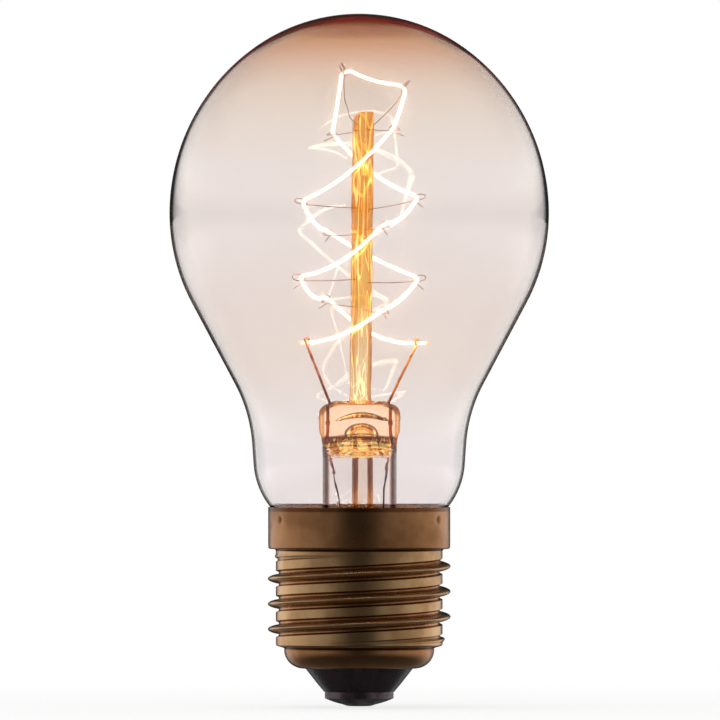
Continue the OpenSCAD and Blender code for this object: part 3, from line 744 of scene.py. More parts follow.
# The rod's amber is painted glow of the filament, paler at its foot; its cords vary it, and its
# turned-away sides are painted darker, as painted shade.
rod_tone = cords * 0.38 + away * -0.75 + 0.5
rod_painted_glow = ramp(rod_tone, [
    (0.0, (0.26, 0.05, 0.004)), (0.22, (0.68, 0.18, 0.01)), (0.45, (0.9, 0.33, 0.02)),
    (0.65, (0.97, 0.44, 0.045)), (0.9, (1, 0.64, 0.17)),
])
low_rod_painted_glow = ramp(rod_tone, [
    (0.0, (0.18, 0.03, 0.004)), (0.2, (0.52, 0.12, 0.015)), (0.34, (0.88, 0.4, 0.09)),
    (0.5, (1, 0.76, 0.42)), (0.92, (1, 0.92, 0.7)),
])
low_share = height_ramp(tree, [(44, WHITE), (50, grey(0.8)), (58, BLACK), (86, BLACK)])
rod_painted_glow = mixed(low_share, rod_painted_glow, low_rod_painted_glow)
above_press = height_ramp(tree, [(43, BLACK), (43.6, BLACK), (44.3, WHITE), (60, WHITE)])
stem_colour = mixed(above_press, mixed(in_press, tube_painted_edges, press_glow_and_shade), rod_painted_glow)
feed(glass.inputs["Base Color"], stem_colour)

# Painted highlights: cords in the rod are painted as bright lines where they catch the filament,
# and so are those in the press's painted glowing parts. The rest of the press is given a little
# painted glow, most of it in its foot.
cord_line = eased(abs(grain["Cord"] - 0.5), 0.006, 0.034, 1, 0)
painted_bright_lines = mixed(
    cord_line * most(above_press, painted_glow_part * 0.6) * on_skin, BLACK, (1, 0.74, 0.28)
)
painted_foot_glow = ramp(cords, [
    (0.0, (0.07, 0.015, 0)), (0.5, (0.26, 0.09, 0.004)), (1.0, (0.55, 0.38, 0.09)),
])
painted_press_glow = mixed(painted_glow_part, (0.14, 0.035, 0.003), painted_foot_glow)
painted_press_glow = mixed(painted_shade_part, painted_press_glow, (0.045, 0.01, 0))
painted_press_glow = mixed(in_press * (1 - above_press) * on_skin, BLACK, painted_press_glow)
feed(glass.inputs["Emission Color"], mixed(1, painted_bright_lines, painted_press_glow, "ADD"))
feed(glass.inputs["Emission Strength"], 0.9)
finished(stem, stem_finish, ["stem_flare", "stem_press", "centre_rod"])

# Exhaust tube: the thin glass tube that the air was pumped out through, then tipped off with a
# flame. It opens into the press under the blow hole.
EXHAUST_R = 1.5
EXHAUST_BORE = 0.75
EXHAUST_TOP = 35.9
EXHAUST_TIP = 13
EXHAUST_X = 0.48
# Heights above the tip, up the outside to just under the top, and down the bore.
TIP_SKIN = [
    (0, 0), (0.3, 0.12), (0.62, 0.5), (1.1, 1.5), (1.38, 2.3), (EXHAUST_R, 3), (EXHAUST_R, 3.3),
]
TIP_BORE = [(EXHAUST_BORE, 3.9), (EXHAUST_BORE, 3.6), (0.5, 2.8), (0, 2.3)]


def turned(name, profile, sides=160, centre_x=0, marks=None, mark_name="mark"):
    """A body turned about an upright axis from a closed profile of (radius, height). A radius of 0
    is a pole. marks give a number for each point of the profile."""
    points, rings, kept = [], [], []
    turns = [360 * k / sides for k in range(sides)]
    for i, (r, z) in enumerate(profile):
        first = len(points)
        if r == 0:
            points.append((centre_x, 0, z))
            rings.append([first] * sides)
        else:
            points += [(centre_x + r * cosine(a), r * sine(a), z) for a in turns]
            rings.append([first + k for k in range(sides)])
        kept += [marks[i] if marks else 0] * (len(points) - first)
    if profile[0][0] > 0:
        rings.append(rings[0])
    faces = []
    for low, high in zip(rings, rings[1:]):
        for k in range(sides):
            around = [low[k], low[(k + 1) % sides], high[(k + 1) % sides], high[k]]
            faces.append(list(dict.fromkeys(around)))
    return meshed(name, points, faces, kept if marks else None, mark_name)


exhaust_skin = [(r, EXHAUST_TIP + z) for r, z in TIP_SKIN]
exhaust_skin += [
    (EXHAUST_R, EXHAUST_TOP - 0.5), (EXHAUST_R, EXHAUST_TOP - 0.3), (EXHAUST_R - 0.1, EXHAUST_TOP),
]
exhaust_bore = [(EXHAUST_BORE, EXHAUST_TOP)] + [(r, EXHAUST_TIP + z) for r, z in TIP_BORE]
exhaust_tube = turned(
    "exhaust_tube_glass", exhaust_skin + exhaust_bore, sides=64, centre_x=EXHAUST_X,
    marks=[ON_SKIN] * len(exhaust_skin) + [IN_BORE] * len(exhaust_bore), mark_name="surface",
)
exhaust_finish, tree, glass, _ = clear_glass("exhaust tube glass", 900, 90, 0.02, (1, 0.55, 0.35))
# Painted glow and painted shade: the wall's edge colour is a bright orange glow at its foot, where
# the flare catches the filament's light, and is painted dark higher up.
painted_edge_colour = height_ramp(tree, [
    (28, (0.8, 0.3, 0.05)), (29, (0.5, 0.1, 0.006)), (31, (0.16, 0.016, 0.001)),
    (32.5, (0.05, 0.003, 0.0005)), (35.4, (0.05, 0.003, 0.0005)), (36.5, (0.3, 0.06, 0.006)),
])
# Its wall is painted as two amber bands, where the surface turns away enough and not too much.
away = turned_away(tree)
in_wall = eased(away, 0.09, 0.125) * eased(away, 0.38, 0.46, 1, 0) * kept_mark(tree, "surface")
feed(glass.inputs["Base Color"], mixed(in_wall, (0.98, 0.92, 0.87), painted_edge_colour))
finished(exhaust_tube, exhaust_finish, ["exhaust_tube"])

# Leads: each is three wires butt welded end to end, a nickel-plated inner lead that is bent round
# the filament as a clamp, a copper-clad seal wire in the press, and a copper outer lead. The
# knots are the welds.
SEAL_X = 4.3
LEAD_R = 0.2
KNOT_LEN = 0.5
INNER_KNOT_Z = 40.8
PRESS_TOP = 44
CLAMP_R = 0.62
CLAMP_DRIFT = 0.5
CLAMP_SWEEP = 230


def geometry_tree(name, sockets):
    """A Geometry Nodes tree, the signals that it is given, and the socket of its result."""
    tree = bpy.data.node_groups.new(name, "GeometryNodeTree")
    for key, kind in sockets.items():
        tree.interface.new_socket(name=key, in_out="INPUT", socket_type="NodeSocket" + kind)
    tree.interface.new_socket(
        name="Result", in_out="OUTPUT", socket_type="NodeSocketGeometry"
    )
    return tree, read(tree, "NodeGroupInput"), node(tree, "NodeGroupOutput").inputs["Result"]


def eased_route(tree, route, resolution):
    """A route of points as one smooth curve."""
    spline = node(
        tree, "GeometryNodeCurveSplineType", {"Curve": route}, spline_type="CATMULL_ROM"
    )
    return node(tree, "GeometryNodeSetSplineResolution", {
        "Geometry": spline, "Resolution": resolution,
    })


def swept_result(tree, route, section, finish, result):
    """Sweeps a section along a route, as real faces with their finish, into the tree's result."""
    swept = node(tree, "GeometryNodeCurveToMesh", {
        "Curve": route, "Profile Curve": section, "Fill Caps": True,
    })
    real = node(tree, "GeometryNodeRealizeInstances", {"Geometry": swept})
    coated = node(tree, "GeometryNodeSetMaterial", {"Geometry": real, "Material": finish})
    feed(result, coated)


wire_tree, given, result = geometry_tree(
    "swept wire", {"Route": "Geometry", "Radius": "Float", "Sides": "Int", "Finish": "Material"}
)
section = node(wire_tree, "GeometryNodeCurvePrimitiveCircle", {
    "Resolution": given["Sides"], "Radius": given["Radius"],
})
swept_result(
    wire_tree, eased_route(wire_tree, given["Route"], 4), section, given["Finish"], result
)


def along_route(name, route, tree, **values):
    """The mesh that a Geometry Nodes tree makes from a route of points in millimetres."""
    curve = bpy.data.curves.new(name + "_route", "CURVE")
    curve.dimensions = "3D"
    spline = curve.splines.new("POLY")
    spline.points.add(len(route) - 1)
    for point, place in zip(spline.points, route):
        point.co = (*(Vector(place) * MM), 1)
    holder = bpy.data.objects.new(name + "_route", curve)
    bpy.context.scene.collection.objects.link(holder)
    modifier = holder.modifiers.new("sweep", "NODES")
    modifier.node_group = tree
    for socket in tree.interface.items_tree:
        key = socket.name.replace(" ", "_")
        if key in values:
            modifier[socket.identifier] = values[key]
    depsgraph = bpy.context.evaluated_depsgraph_get()
    mesh = bpy.data.meshes.new_from_object(holder.evaluated_get(depsgraph), depsgraph=depsgraph)
    mesh.name = name
    holder.modifiers.remove(modifier)
    bpy.data.objects.remove(holder)
    bpy.data.curves.remove(curve)
    return bpy.data.objects.new(name, mesh)


# Mottled surface of an aged metal, solder or cement.
mottle_group, given, result = node_group(
    "mottled surface",
    {"Bright": "Color", "Dull": "Color", "Roughness": "Float", "Scale": "Float"},
    {"Colour": "Color", "Roughness": "Float", "Height": "Float"},
)
place = read(mottle_group, "ShaderNodeTexCoord")["Object"]
mottle = read(mottle_group, "ShaderNodeTexNoise", {
    "Vector": place, "Scale": given["Scale"], "Detail": 5, "Roughness": 0.6,
})["Fac"]
worn = eased(mottle, 0.34, 0.62)
feed(result["Colour"], mixed(worn, given["Dull"], given["Bright"]))
feed(result["Roughness"], (1 - worn) * 0.18 + given["Roughness"])
feed(result["Height"], read(mottle_group, "ShaderNodeTexNoise", {
    "Vector": place, "Scale": given["Scale"] * 9, "Detail": 2,
})["Fac"])


def mottled_finish(name, bright, dull, roughness, scale, metallic=1.0, depth=0.01, tint=None):
    """An aged finish. depth is that of its grain, in millimetres. tint is a function that makes,
    in the finish's tree, the colour to multiply it by."""
    finish, tree = blank_finish(name)
    surface = placed_group(
        tree, mottle_group, Bright=bright, Dull=dull, Roughness=roughness, Scale=scale
    )
    colour = surface["Colour"]
    if tint:
        colour = mixed(1, tint(tree), colour, "MULTIPLY")
    bump = node(tree, "ShaderNodeBump", {
        "Strength": 1, "Distance": depth * MM, "Height": surface["Height"],
    })
    shader = node(tree, "ShaderNodeBsdfPrincipled", {
        "Metallic": metallic, "Base Color": colour, "Roughness": surface["Roughness"],
        "Normal": bump,
    })
    node(tree, "ShaderNodeOutputMaterial", {0: shader})
    return finish


# The hooks come before the leads here, because the clamps face along the filament's end spans.
# Each has its name, turn about the axis, height at the rod, reach to the filament, height of the
# filament, angle and length of the tail, and elbows as reach and height.
CROSS_TURN = 23.5
FRONT, BACK, LEFT, RIGHT = CROSS_TURN - 91, CROSS_TURN + 95, CROSS_TURN + 180, CROSS_TURN
HOOK_REACH = 9.1
TOP_LEFT_ELBOWS = [(1.45, 84.5), (1.95, 86), (2.5, 87.6)]
HOOKS = [
    ("bottom_front", FRONT, 57.1, HOOK_REACH, 57, -60, 1.2, []),
    ("low_right", RIGHT, 60.95, HOOK_REACH, 61.5, -40, 2.2, []),
    ("middle_back", BACK, 67.9, HOOK_REACH, 68.2, -60, 1.4, []),
    ("high_left", LEFT, 71.65, 8.7, 72.5, -60, 1.3, []),
    ("upper_front", FRONT + 12, 83, 8.5, 82.9, -25, 1.9, []),
    ("top_right", RIGHT - 3, 82.7, 6.8, 89, 0, 0.9, [(5.4, 86.5)]),
    ("top_left", LEFT + 8, 83.6, 2.4, 91.2, 50, 1.2, TOP_LEFT_ELBOWS),
    ("upper_back", BACK - 2, 82.8, 8.3, 82.4, -60, 1.7, []),
    ("high_right", RIGHT, 71.4, 9, 73.2, -35, 2, []),
    ("middle_front", FRONT, 68.6, HOOK_REACH, 69.1, -75, 1.4, []),
    ("low_left", LEFT, 61.4, HOOK_REACH, 61.6, -38, 2.1, []),
    ("bottom_back", BACK + 2, 57.5, HOOK_REACH, 58.6, -20, 2.2, []),
]
LEFT_CLAMP = Vector((-7.5, -1.5, 52.4))
RIGHT_CLAMP = Vector((8.2, 1.5, 52.3))
UP = Vector((0, 0, 1))


def outward(turn):
    return Vector((cosine(turn), sine(turn), 0))


hooked = [reach * outward(turn) + z * UP for _, turn, _, reach, z, _, _, _ in HOOKS]
knots = [LEFT_CLAMP] + hooked + [RIGHT_CLAMP]
last_knot = len(knots) - 1


def back_way(i):
    return (knots[i - 1] - knots[i]).normalized()


def on_way(i):
    return (knots[i + 1] - knots[i]).normalized()


def along(i):
    return (on_way(i) - back_way(i)).normalized()


def loop_angle(heading, wide, high):
    return math.degrees(math.atan2(-cosine(heading) / wide, sine(heading) / high))


def heading_to(start, end, across, up):
    return math.degrees(math.atan2((end - start).dot(up), (end - start).dot(across)))


def wire_loop(centre, across, up, wide, high, start, end, drift, steps):
    """A turn of wire round the filament: an oval in the plane of across and up that drifts along
    the filament."""
    points = []
    for k in range(steps + 1):
        a = start + (end - start) * k / steps
        points.append(
            centre + wide * cosine(a) * across + high * sine(a) * up
            + drift * (k / steps - 0.5) * across.cross(up)
        )
    return points


def lead_route(side, clamp, way):
    """From the knot in the press up its edge, and out to the clamp on the filament's end."""
    bend = Vector((side * SEAL_X, 0, PRESS_TOP - 0.2))
    square = Vector((-way.y, way.x, 0))
    across = square if square.x * side > 0 else -square
    start = loop_angle(heading_to(bend, clamp, across, UP), CLAMP_R, CLAMP_R)
    straight = [
        Vector((side * SEAL_X, 0, INNER_KNOT_Z + KNOT_LEN / 2)), bend - 1.2 * UP, bend,
        bend + Vector((side * 0.12, 0, 0.4)),
    ]
    return straight + wire_loop(
        clamp, across, UP, CLAMP_R, CLAMP_R, start, start + CLAMP_SWEEP, CLAMP_DRIFT, 14
    )


def levelled(way):
    return Vector((way.x, way.y, 0)).normalized()


# Painted light: the filament's light is painted onto the leads as a warm tint, stronger on the
# right
# lead than on the left: colours from where the plating starts, over the press's top, to the clamp.
LEFT_PAINTED_GLOW = [(0.36, 0.1, 0.07), (0.8, 0.25, 0.14), (0.9, 0.35, 0.15)]
RIGHT_PAINTED_GLOW = [(0.6, 0.17, 0.04), (1, 0.36, 0.09), (1, 0.45, 0.13)]
left_way = levelled(on_way(0))
right_way = levelled(back_way(last_knot))
for hand, side, clamp, way, tones in (
    ("left", -1, LEFT_CLAMP, left_way, LEFT_PAINTED_GLOW),
    ("right", 1, RIGHT_CLAMP, right_way, RIGHT_PAINTED_GLOW),
):
    stops = [(40, (0.3, 0.06, 0.02)), (44.2, tones[0]), (48.5, tones[1]), (52.5, tones[2])]
    lead_finish = mottled_finish(
        "plated lead, painted glow, " + hand, WHITE, (0.45, 0.4, 0.38), 0.3, 900,
        tint=lambda tree, stops=stops: height_ramp(tree, stops),
    )
    lead = along_route(
        "inner_lead_" + hand + "_wire", lead_route(side, clamp, way), wire_tree,
        Radius=LEAD_R * MM, Sides=14, Finish=lead_finish,
    )
    finished(lead, lead_finish, ["inner_lead_" + hand], crease=60)


def recoated(node_name, finish):
    """Gives a CAD node's own mesh a finish."""
    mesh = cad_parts[node_name].data
    mesh.materials.clear()
    mesh.materials.append(finish)


seal_finish = mottled_finish(
    "copper-clad seal wire", (0.5, 0.09, 0.03), (0.18, 0.04, 0.02), 0.4, 800
)
outer_finish = mottled_finish(
    "dark copper lead", (0.06, 0.035, 0.035), (0.02, 0.014, 0.015), 0.42, 800
)
for hand in ("left", "right"):
    recoated("seal_wire_" + hand, seal_finish)
    recoated("outer_lead_" + hand, outer_finish)

# Support wires: thin molybdenum, pushed into the rod while it was hot. Each ends in one open turn
# round the filament and a clipped tail.
SUPPORT_R = 0.065
LOOP_OUT = 0.95
LOOP_UP = 0.58
LOOP_SHIFT = 0.42
LOOP_DRIFT = 0.4
WIRE_DROOP = 0.12
ROOTED = 0.6


def support_route(i):
    """From inside the rod out to the hook's turn round the filament, and on to its tail."""
    _, turn, rod_z, _, _, tail_angle, tail_length, elbows = HOOKS[i - 1]
    way = along(i)
    out = outward(turn)
    foot = ROOTED * out + Vector((rod_x(rod_z), 0, rod_z))
    bends = [r * out + z * UP for r, z in elbows]
    square = (out - out.dot(way) * way).normalized()
    above = square.cross(way if square.cross(way).z > 0 else -way)
    heading = heading_to(bends[-1] if bends else foot, knots[i], square, above)
    across = cosine(heading) * square + sine(heading) * above
    up = cosine(heading) * above - sine(heading) * square
    turn_points = wire_loop(
        knots[i] + LOOP_SHIFT * across, across, up, LOOP_OUT, LOOP_UP,
        loop_angle(0, LOOP_OUT, LOOP_UP),
        loop_angle(tail_angle - heading, LOOP_OUT, LOOP_UP) + 360, LOOP_DRIFT, 16,
    )
    tail = tail_length * (cosine(tail_angle) * square + sine(tail_angle) * above)
    middle = (foot + turn_points[0]) / 2 - WIRE_DROOP * UP
    end = turn_points[-1]
    return [foot] + (bends or [middle]) + turn_points + [end + tail / 2, end + tail]


support_finish = mottled_finish(
    "molybdenum support", (0.42, 0.24, 0.18), (0.18, 0.1, 0.075), 0.38, 900
)
for i in range(1, last_knot):
    hook_name = "support_" + HOOKS[i - 1][0]
    support = along_route(
        hook_name + "_wire", support_route(i), wire_tree, Radius=SUPPORT_R * MM, Sides=10,
        Finish=support_finish,
    )
    finished(support, support_finish, [hook_name], crease=60)

# Filament: one long coil of fine tungsten wire, hung from clamp to clamp through the twelve
# hooks. Each span sags a little, and the two ends are cooler where the clamps draw the heat off.
COIL_R = 0.27
COIL_WIRE_R = 0.05
COIL_PITCH = 0.2
COIL_STEPS = 10
BEND_R = 1
SPAN_SAG = [0.75, 0.55, 0.35, 0.9, 1.1, 0.2, 0.4, 0.2, 1.2, 0.9, 1.3, 1.1, 1.5]
LEFT_TAIL = 1
RIGHT_TAIL = 1.8


def bend_arc(i, steps=6):
    """The filament's bend in a hook."""
    inward = (back_way(i) + on_way(i)).normalized()
    half = 90 - math.degrees(math.acos(on_way(i).dot(inward)))
    points = []
    for k in range(steps + 1):
        a = half * (2 * k / steps - 1)
        points.append(knots[i] + BEND_R * ((1 - cosine(a)) * inward + sine(a) * along(i)))
    return points


def clamped_end(clamp, way, tail):
    return [clamp + s * way for s in (-tail - 0.3, -tail / 2, -0.3, 0, 0.3, 0.9)]


filament_bends = [clamped_end(LEFT_CLAMP, left_way, LEFT_TAIL)]
filament_bends += [bend_arc(i) for i in range(1, last_knot)]
filament_bends.append(clamped_end(RIGHT_CLAMP, right_way, RIGHT_TAIL)[::-1])
filament_route = []
for i in range(last_knot):
    start, end = filament_bends[i][-1], filament_bends[i + 1][0]
    filament_route += filament_bends[i]
    for k in range(1, 8):
        s = k / 8
        filament_route.append(start + s * (end - start) - 4 * SPAN_SAG[i] * s * (1 - s) * UP)
filament_route += filament_bends[last_knot]


def vector_step(operation, first, second):
    """One step with vectors: their sum or cross product, or the first scaled by a number."""
    made = node(first.tree, "ShaderNodeVectorMath", operation=operation)
    feed(made.inputs[0], first)
    feed(made.inputs["Scale" if operation == "SCALE" else 1], second)
    return Signal(made.outputs[0])


# The route is cut into short steps, and each is moved out from it at a turning angle.
coil_tree, given, result = geometry_tree("coiled wire", {
    "Route": "Geometry", "Coil Radius": "Float", "Pitch": "Float", "Wire Radius": "Float",
    "Steps per Turn": "Int", "Finish": "Material",
})
even = node(coil_tree, "GeometryNodeResampleCurve", {
    "Curve": eased_route(coil_tree, given["Route"], 6),
    "Length": given["Pitch"] / given["Steps per Turn"],
}, mode="LENGTH")
route_place = read(coil_tree, "GeometryNodeSplineParameter")
angle = route_place["Length"] / given["Pitch"] * (2 * math.pi)
normal = read(coil_tree, "GeometryNodeInputNormal")["Normal"]
tangent = read(coil_tree, "GeometryNodeInputTangent")["Tangent"]
binormal = vector_step("CROSS_PRODUCT", tangent, normal)
offset = vector_step(
    "ADD", vector_step("SCALE", normal, reckoned("COSINE", angle) * given["Coil Radius"]),
    vector_step("SCALE", binormal, reckoned("SINE", angle) * given["Coil Radius"]),
)
marked = node(coil_tree, "GeometryNodeStoreNamedAttribute", {
    "Geometry": even, "Name": "along", "Value": route_place["Factor"],
}, data_type="FLOAT", domain="POINT")
wound = node(coil_tree, "GeometryNodeSetPosition", {"Geometry": marked, "Offset": offset})
section = node(coil_tree, "GeometryNodeCurvePrimitiveCircle", {
    "Resolution": 4, "Radius": given["Wire Radius"],
})
swept_result(coil_tree, wound, section, given["Finish"], result)

# Seen directly it is just past white. Its mirror images are stronger, and what the haze spreads
# has its full strength.
GLOW_STRENGTH = 15
DIRECT_SHARE = 0.12
GHOST_SHARE = 0.45
filament_finish, tree = blank_finish("glowing tungsten")
heat = ramp(kept_mark(tree, "along"), [
    (0.0, (0.25, 0.08, 0.02)), (0.006, (1, 0.82, 0.58)), (0.5, (1, 0.87, 0.68)),
    (0.99, (1, 0.84, 0.62)), (1.0, (0.25, 0.1, 0.03)),
])
drawn = read(tree, "ShaderNodeTexNoise", {
    "Vector": read(tree, "ShaderNodeTexCoord")["Object"], "Scale": 4000, "Detail": 2,
})["Fac"]
ray = read(tree, "ShaderNodeLightPath")
seen_share = (ray["Glossy Depth"] > 0.5) * (GHOST_SHARE - DIRECT_SHARE) + DIRECT_SHARE
seen_share = most(seen_share, 1 - ray["Is Singular Ray"])
glowing = node(tree, "ShaderNodeBsdfPrincipled", {
    "Metallic": 1, "Roughness": 0.45, "Emission Strength": GLOW_STRENGTH,
    "Base Color": ramp(drawn, [(0.3, (0.2, 0.19, 0.18)), (0.7, (0.36, 0.34, 0.32))]),
    "Emission Color": mixed(seen_share, BLACK, heat),
})
node(tree, "ShaderNodeOutputMaterial", {0: glowing})
filament = along_route(
    "filament_coil", filament_route, coil_tree, Coil_Radius=(COIL_R - COIL_WIRE_R) * MM,
    Pitch=COIL_PITCH * MM, Wire_Radius=COIL_WIRE_R * MM, Steps_per_Turn=COIL_STEPS,
    Finish=filament_finish,
)
finished(filament, filament_finish, ["filament"], crease=80)

# Envelope: blown soda-lime glass with a faint amber tint, deeper at the crown, where the blown
# gather is also thickest; the crown's tip is painted dark red-brown, as painted shade. Its collar
# is fused to the stem's flare and cemented into the cap.
BULB_R = 27.3
TOTAL_H = 99.6
CROWN_WALL = 0.75
NECK_R = 15.4
CROWN_R = 25.8
CROWN_TURN = 35
BELLY_R = 27.5
CONE_LEAN = 28
WAIST_R = 21.5
NECK_LEAN = 4
SHOULDER_LEAN = 40
COLLAR_FILLET = 0.8
COLLAR_TOP = 27.9
COLLAR_FOOT = 23.4
THICK_TURN = 30
THIN_TURN = 45
ENVELOPE_SIDES = 192
WALK_STEP = 1.5
flank_r = (BULB_R - CROWN_R * sine(CROWN_TURN)) / (1 - sine(CROWN_TURN))
equator_z = TOTAL_H - CROWN_R * (1 - cosine(CROWN_TURN)) - flank_r * cosine(CROWN_TURN)
waist_in = WAIST_R * (cosine(NECK_LEAN) - cosine(CONE_LEAN))
belly_in = BELLY_R * (1 - cosine(CONE_LEAN))
cone_len = (BULB_R - belly_in - waist_in - NECK_R) / sine(CONE_LEAN)
neck_top_z = (
    equator_z - BELLY_R * sine(CONE_LEAN) - cone_len * cosine(CONE_LEAN)
    - WAIST_R * (sine(CONE_LEAN) - sine(NECK_LEAN))
)
# The neck's straight and its shoulder arc meet the collar at its own radius and height.
shoulder_in = NECK_R - COLLAR_R - COLLAR_FILLET * (1 - cosine(SHOULDER_LEAN))
shoulder_down = neck_top_z - COLLAR_TOP - COLLAR_FILLET * sine(SHOULDER_LEAN)
turn_in = cosine(NECK_LEAN) - cosine(SHOULDER_LEAN)
turn_down = sine(SHOULDER_LEAN) - sine(NECK_LEAN)
neck_share = turn_in * cosine(NECK_LEAN) - turn_down * sine(NECK_LEAN)
neck_len = (turn_in * shoulder_down - turn_down * shoulder_in) / neck_share
shoulder_r = cosine(NECK_LEAN) * shoulder_in - sine(NECK_LEAN) * shoulder_down
shoulder_r /= neck_share
# Two arcs thin the crown's wall from its middle to the wall of the sides.
crown_in = (
    CROWN_R * sine(CROWN_TURN) + flank_r * (sine(THIN_TURN) - sine(CROWN_TURN))
    - GLASS_WALL * sine(THIN_TURN)
)
crown_down = (
    CROWN_R * (1 - cosine(CROWN_TURN)) + flank_r * (cosine(CROWN_TURN) - cosine(THIN_TURN))
    + GLASS_WALL * cosine(THIN_TURN) - CROWN_WALL
)
arc_in = sine(THIN_TURN) - sine(THICK_TURN)
arc_down = cosine(THICK_TURN) - cosine(THIN_TURN)
crown_share = sine(THICK_TURN) * arc_down - (1 - cosine(THICK_TURN)) * arc_in
thick_r = (arc_down * crown_in - arc_in * crown_down) / crown_share
thin_r = sine(THICK_TURN) * crown_down - (1 - cosine(THICK_TURN)) * crown_in
thin_r /= crown_share


def below_crown(inset):
    return [
        (flank_r - inset, 90), (BELLY_R - inset, 90 + CONE_LEAN), (cone_len,),
        (-WAIST_R - inset, 90 + NECK_LEAN), (neck_len,), (shoulder_r - inset, 90 + SHOULDER_LEAN),
        (-COLLAR_FILLET - inset, 90), (COLLAR_TOP - COLLAR_FOOT,),
    ]


outer_wall = walk([(CROWN_R, CROWN_TURN)] + below_crown(0), (0, TOTAL_H), 0, WALK_STEP)
inner_crown = [(thick_r, THICK_TURN), (thin_r, THIN_TURN)]
inner_wall = walk(inner_crown + below_crown(GLASS_WALL), (0, TOTAL_H - CROWN_WALL), 0, WALK_STEP)
envelope = turned(
    "envelope_glass", outer_wall + inner_wall[::-1], sides=ENVELOPE_SIDES,
    marks=[1] * len(outer_wall) + [0] * len(inner_wall), mark_name="outside",
)
envelope_finish, tree, glass, _ = clear_glass("faintly amber blown glass", 90, 70, 0.03)
# The body's tint deepens towards the crown, and its last millimetres are painted dark as painted
# shade.
body_tint_and_crown_shade = height_ramp(tree, [
    (28, (0.918, 0.878, 0.873)), (38, (0.917, 0.88, 0.872)), (50, (0.915, 0.848, 0.81)),
    (67, (0.912, 0.858, 0.838)), (78, (0.919, 0.868, 0.843)), (84.3, (0.912, 0.843, 0.792)),
    (88.6, (0.892, 0.8, 0.735)), (91.5, (0.867, 0.733, 0.65)), (94.4, (0.838, 0.635, 0.512)),
    (96.2, (0.788, 0.545, 0.398)), (97.3, (0.785, 0.52, 0.343)), (98, (0.48, 0.2, 0.115)),
    (98.6, (0.34, 0.08, 0.03)), (99.6, (0.36, 0.09, 0.035)),
])
# Painted shade: seen edge on, the wall pipes light away, so a line as wide as the wall is painted
# dark.
painted_edge_colour = height_ramp(tree, [
    (28, (0.05, 0.04, 0.035)), (84, (0.05, 0.025, 0.02)), (92, (0.1, 0.012, 0.006)),
    (96, (0.25, 0.006, 0.003)), (99.6, (0.4, 0.004, 0.002)),
])
WALL_START = [
    (28, 0.745), (38, 0.745), (50, 0.78), (60, 0.8), (70, 0.808), (92.4, 0.806), (94.4, 0.785),
    (96.1, 0.746), (98.1, 0.705), (99.6, 0.687),
]
wall_start = height_ramp(tree, [(z, grey(value)) for z, value in WALL_START])
outside = kept_mark(tree, "outside")
edge_on = eased(turned_away(tree), wall_start - 0.012, wall_start + 0.03) * outside
feed(glass.inputs["Base Color"], mixed(edge_on, body_tint_and_crown_shade, painted_edge_colour))
# Painted glow: the crown's edge, thick amber glass, is given a deep red-brown emission.
painted_crown_glow = height_ramp(tree, [
    (28, BLACK), (90, BLACK), (94, (0.022, 0.005, 0.002)), (97, (0.045, 0.008, 0.003)),
    (98.6, (0.03, 0.005, 0.002)), (99.6, (0.03, 0.006, 0.003)),
])
feed(glass.inputs["Emission Color"], mixed(edge_on, BLACK, painted_crown_glow))
feed(glass.inputs["Emission Strength"], 1)
# A fine haze on the inner wall, above the neck, scatters a little of the filament's light into a
# soft glow round it.
haze = read(tree, "ShaderNodeTexNoise", {
    "Vector": read(tree, "ShaderNodeTexCoord")["Object"], "Scale": 30000, "Detail": 1,
})["Fac"]
above_neck = height_ramp(tree, [(28, BLACK), (45, BLACK), (52, WHITE), (99.6, WHITE)])
inside = (1 - outside) * above_neck * eased(turned_away(tree), 0.3, 0.6, 1, 0)
feed(glass.inputs["Roughness"], eased(haze, 0.64, 0.68, 0, 0.32) * inside)
finished(envelope, envelope_finish, ["glass_envelope"], crease=50)

# Basing cement: phenolic cement, baked brown between the collar of the glass and the skirt of the
# brass cap.
recoated("basing_cement", mottled_finish(
    "basing cement", (0.3, 0.17, 0.1), (0.16, 0.085, 0.05), 0.75, 500, metallic=0.0, depth=0.04
))

# Screw shell: a thin brass cup with a plain skirt, a rolled round thread and a bottom turned in
# over the insulator. It is aged brown, darker in its creases, and lighter where it was rubbed.
CAP_TOP = 28.5
SKIRT_FOOT = 22.6
SKIRT_R = 13.1
SHELL_WALL = 0.3
THREAD_PITCH = 3.629
CREST_R = 13.15
ROOT_R = 12
THREAD_PHASE_Z = 16.5
CREST_HALF = 0.185
GROOVE_IN = 0.42
BAND_START = 0.26
BAND_FULL = 0.33
FADE_LOW = (9, 10.4)
FADE_HIGH = (22, 20.4)
DIMPLE_Z = 26.9
DIMPLE_TURNS = (-150, -30, 90)
DIMPLE_DEPTH = 0.22
DIMPLE_WIDTH = 0.45
THREAD_FOOT = 8.85
THREAD_ROW = 0.05
SKIRT_ROW = 0.17
SKIRT_SHADE_Z = 28.1
PLAIN_RUB = 0.9
# From a crest to the middle of the flat beside it, in pitches: both are rubbed bare, and grime
# stays in the groove between them.
RUB_ACROSS = [
    (0, 0.95), (0.1, 0.9), (0.15, 0.7), (0.19, 0.55), (0.25, 0.6), (0.28, 0.1), (0.31, 0.4),
    (0.34, 1), (0.5, 1),
]


def eased_to(z, ends):
    return smooth((z - ends[0]) / (ends[1] - ends[0]))


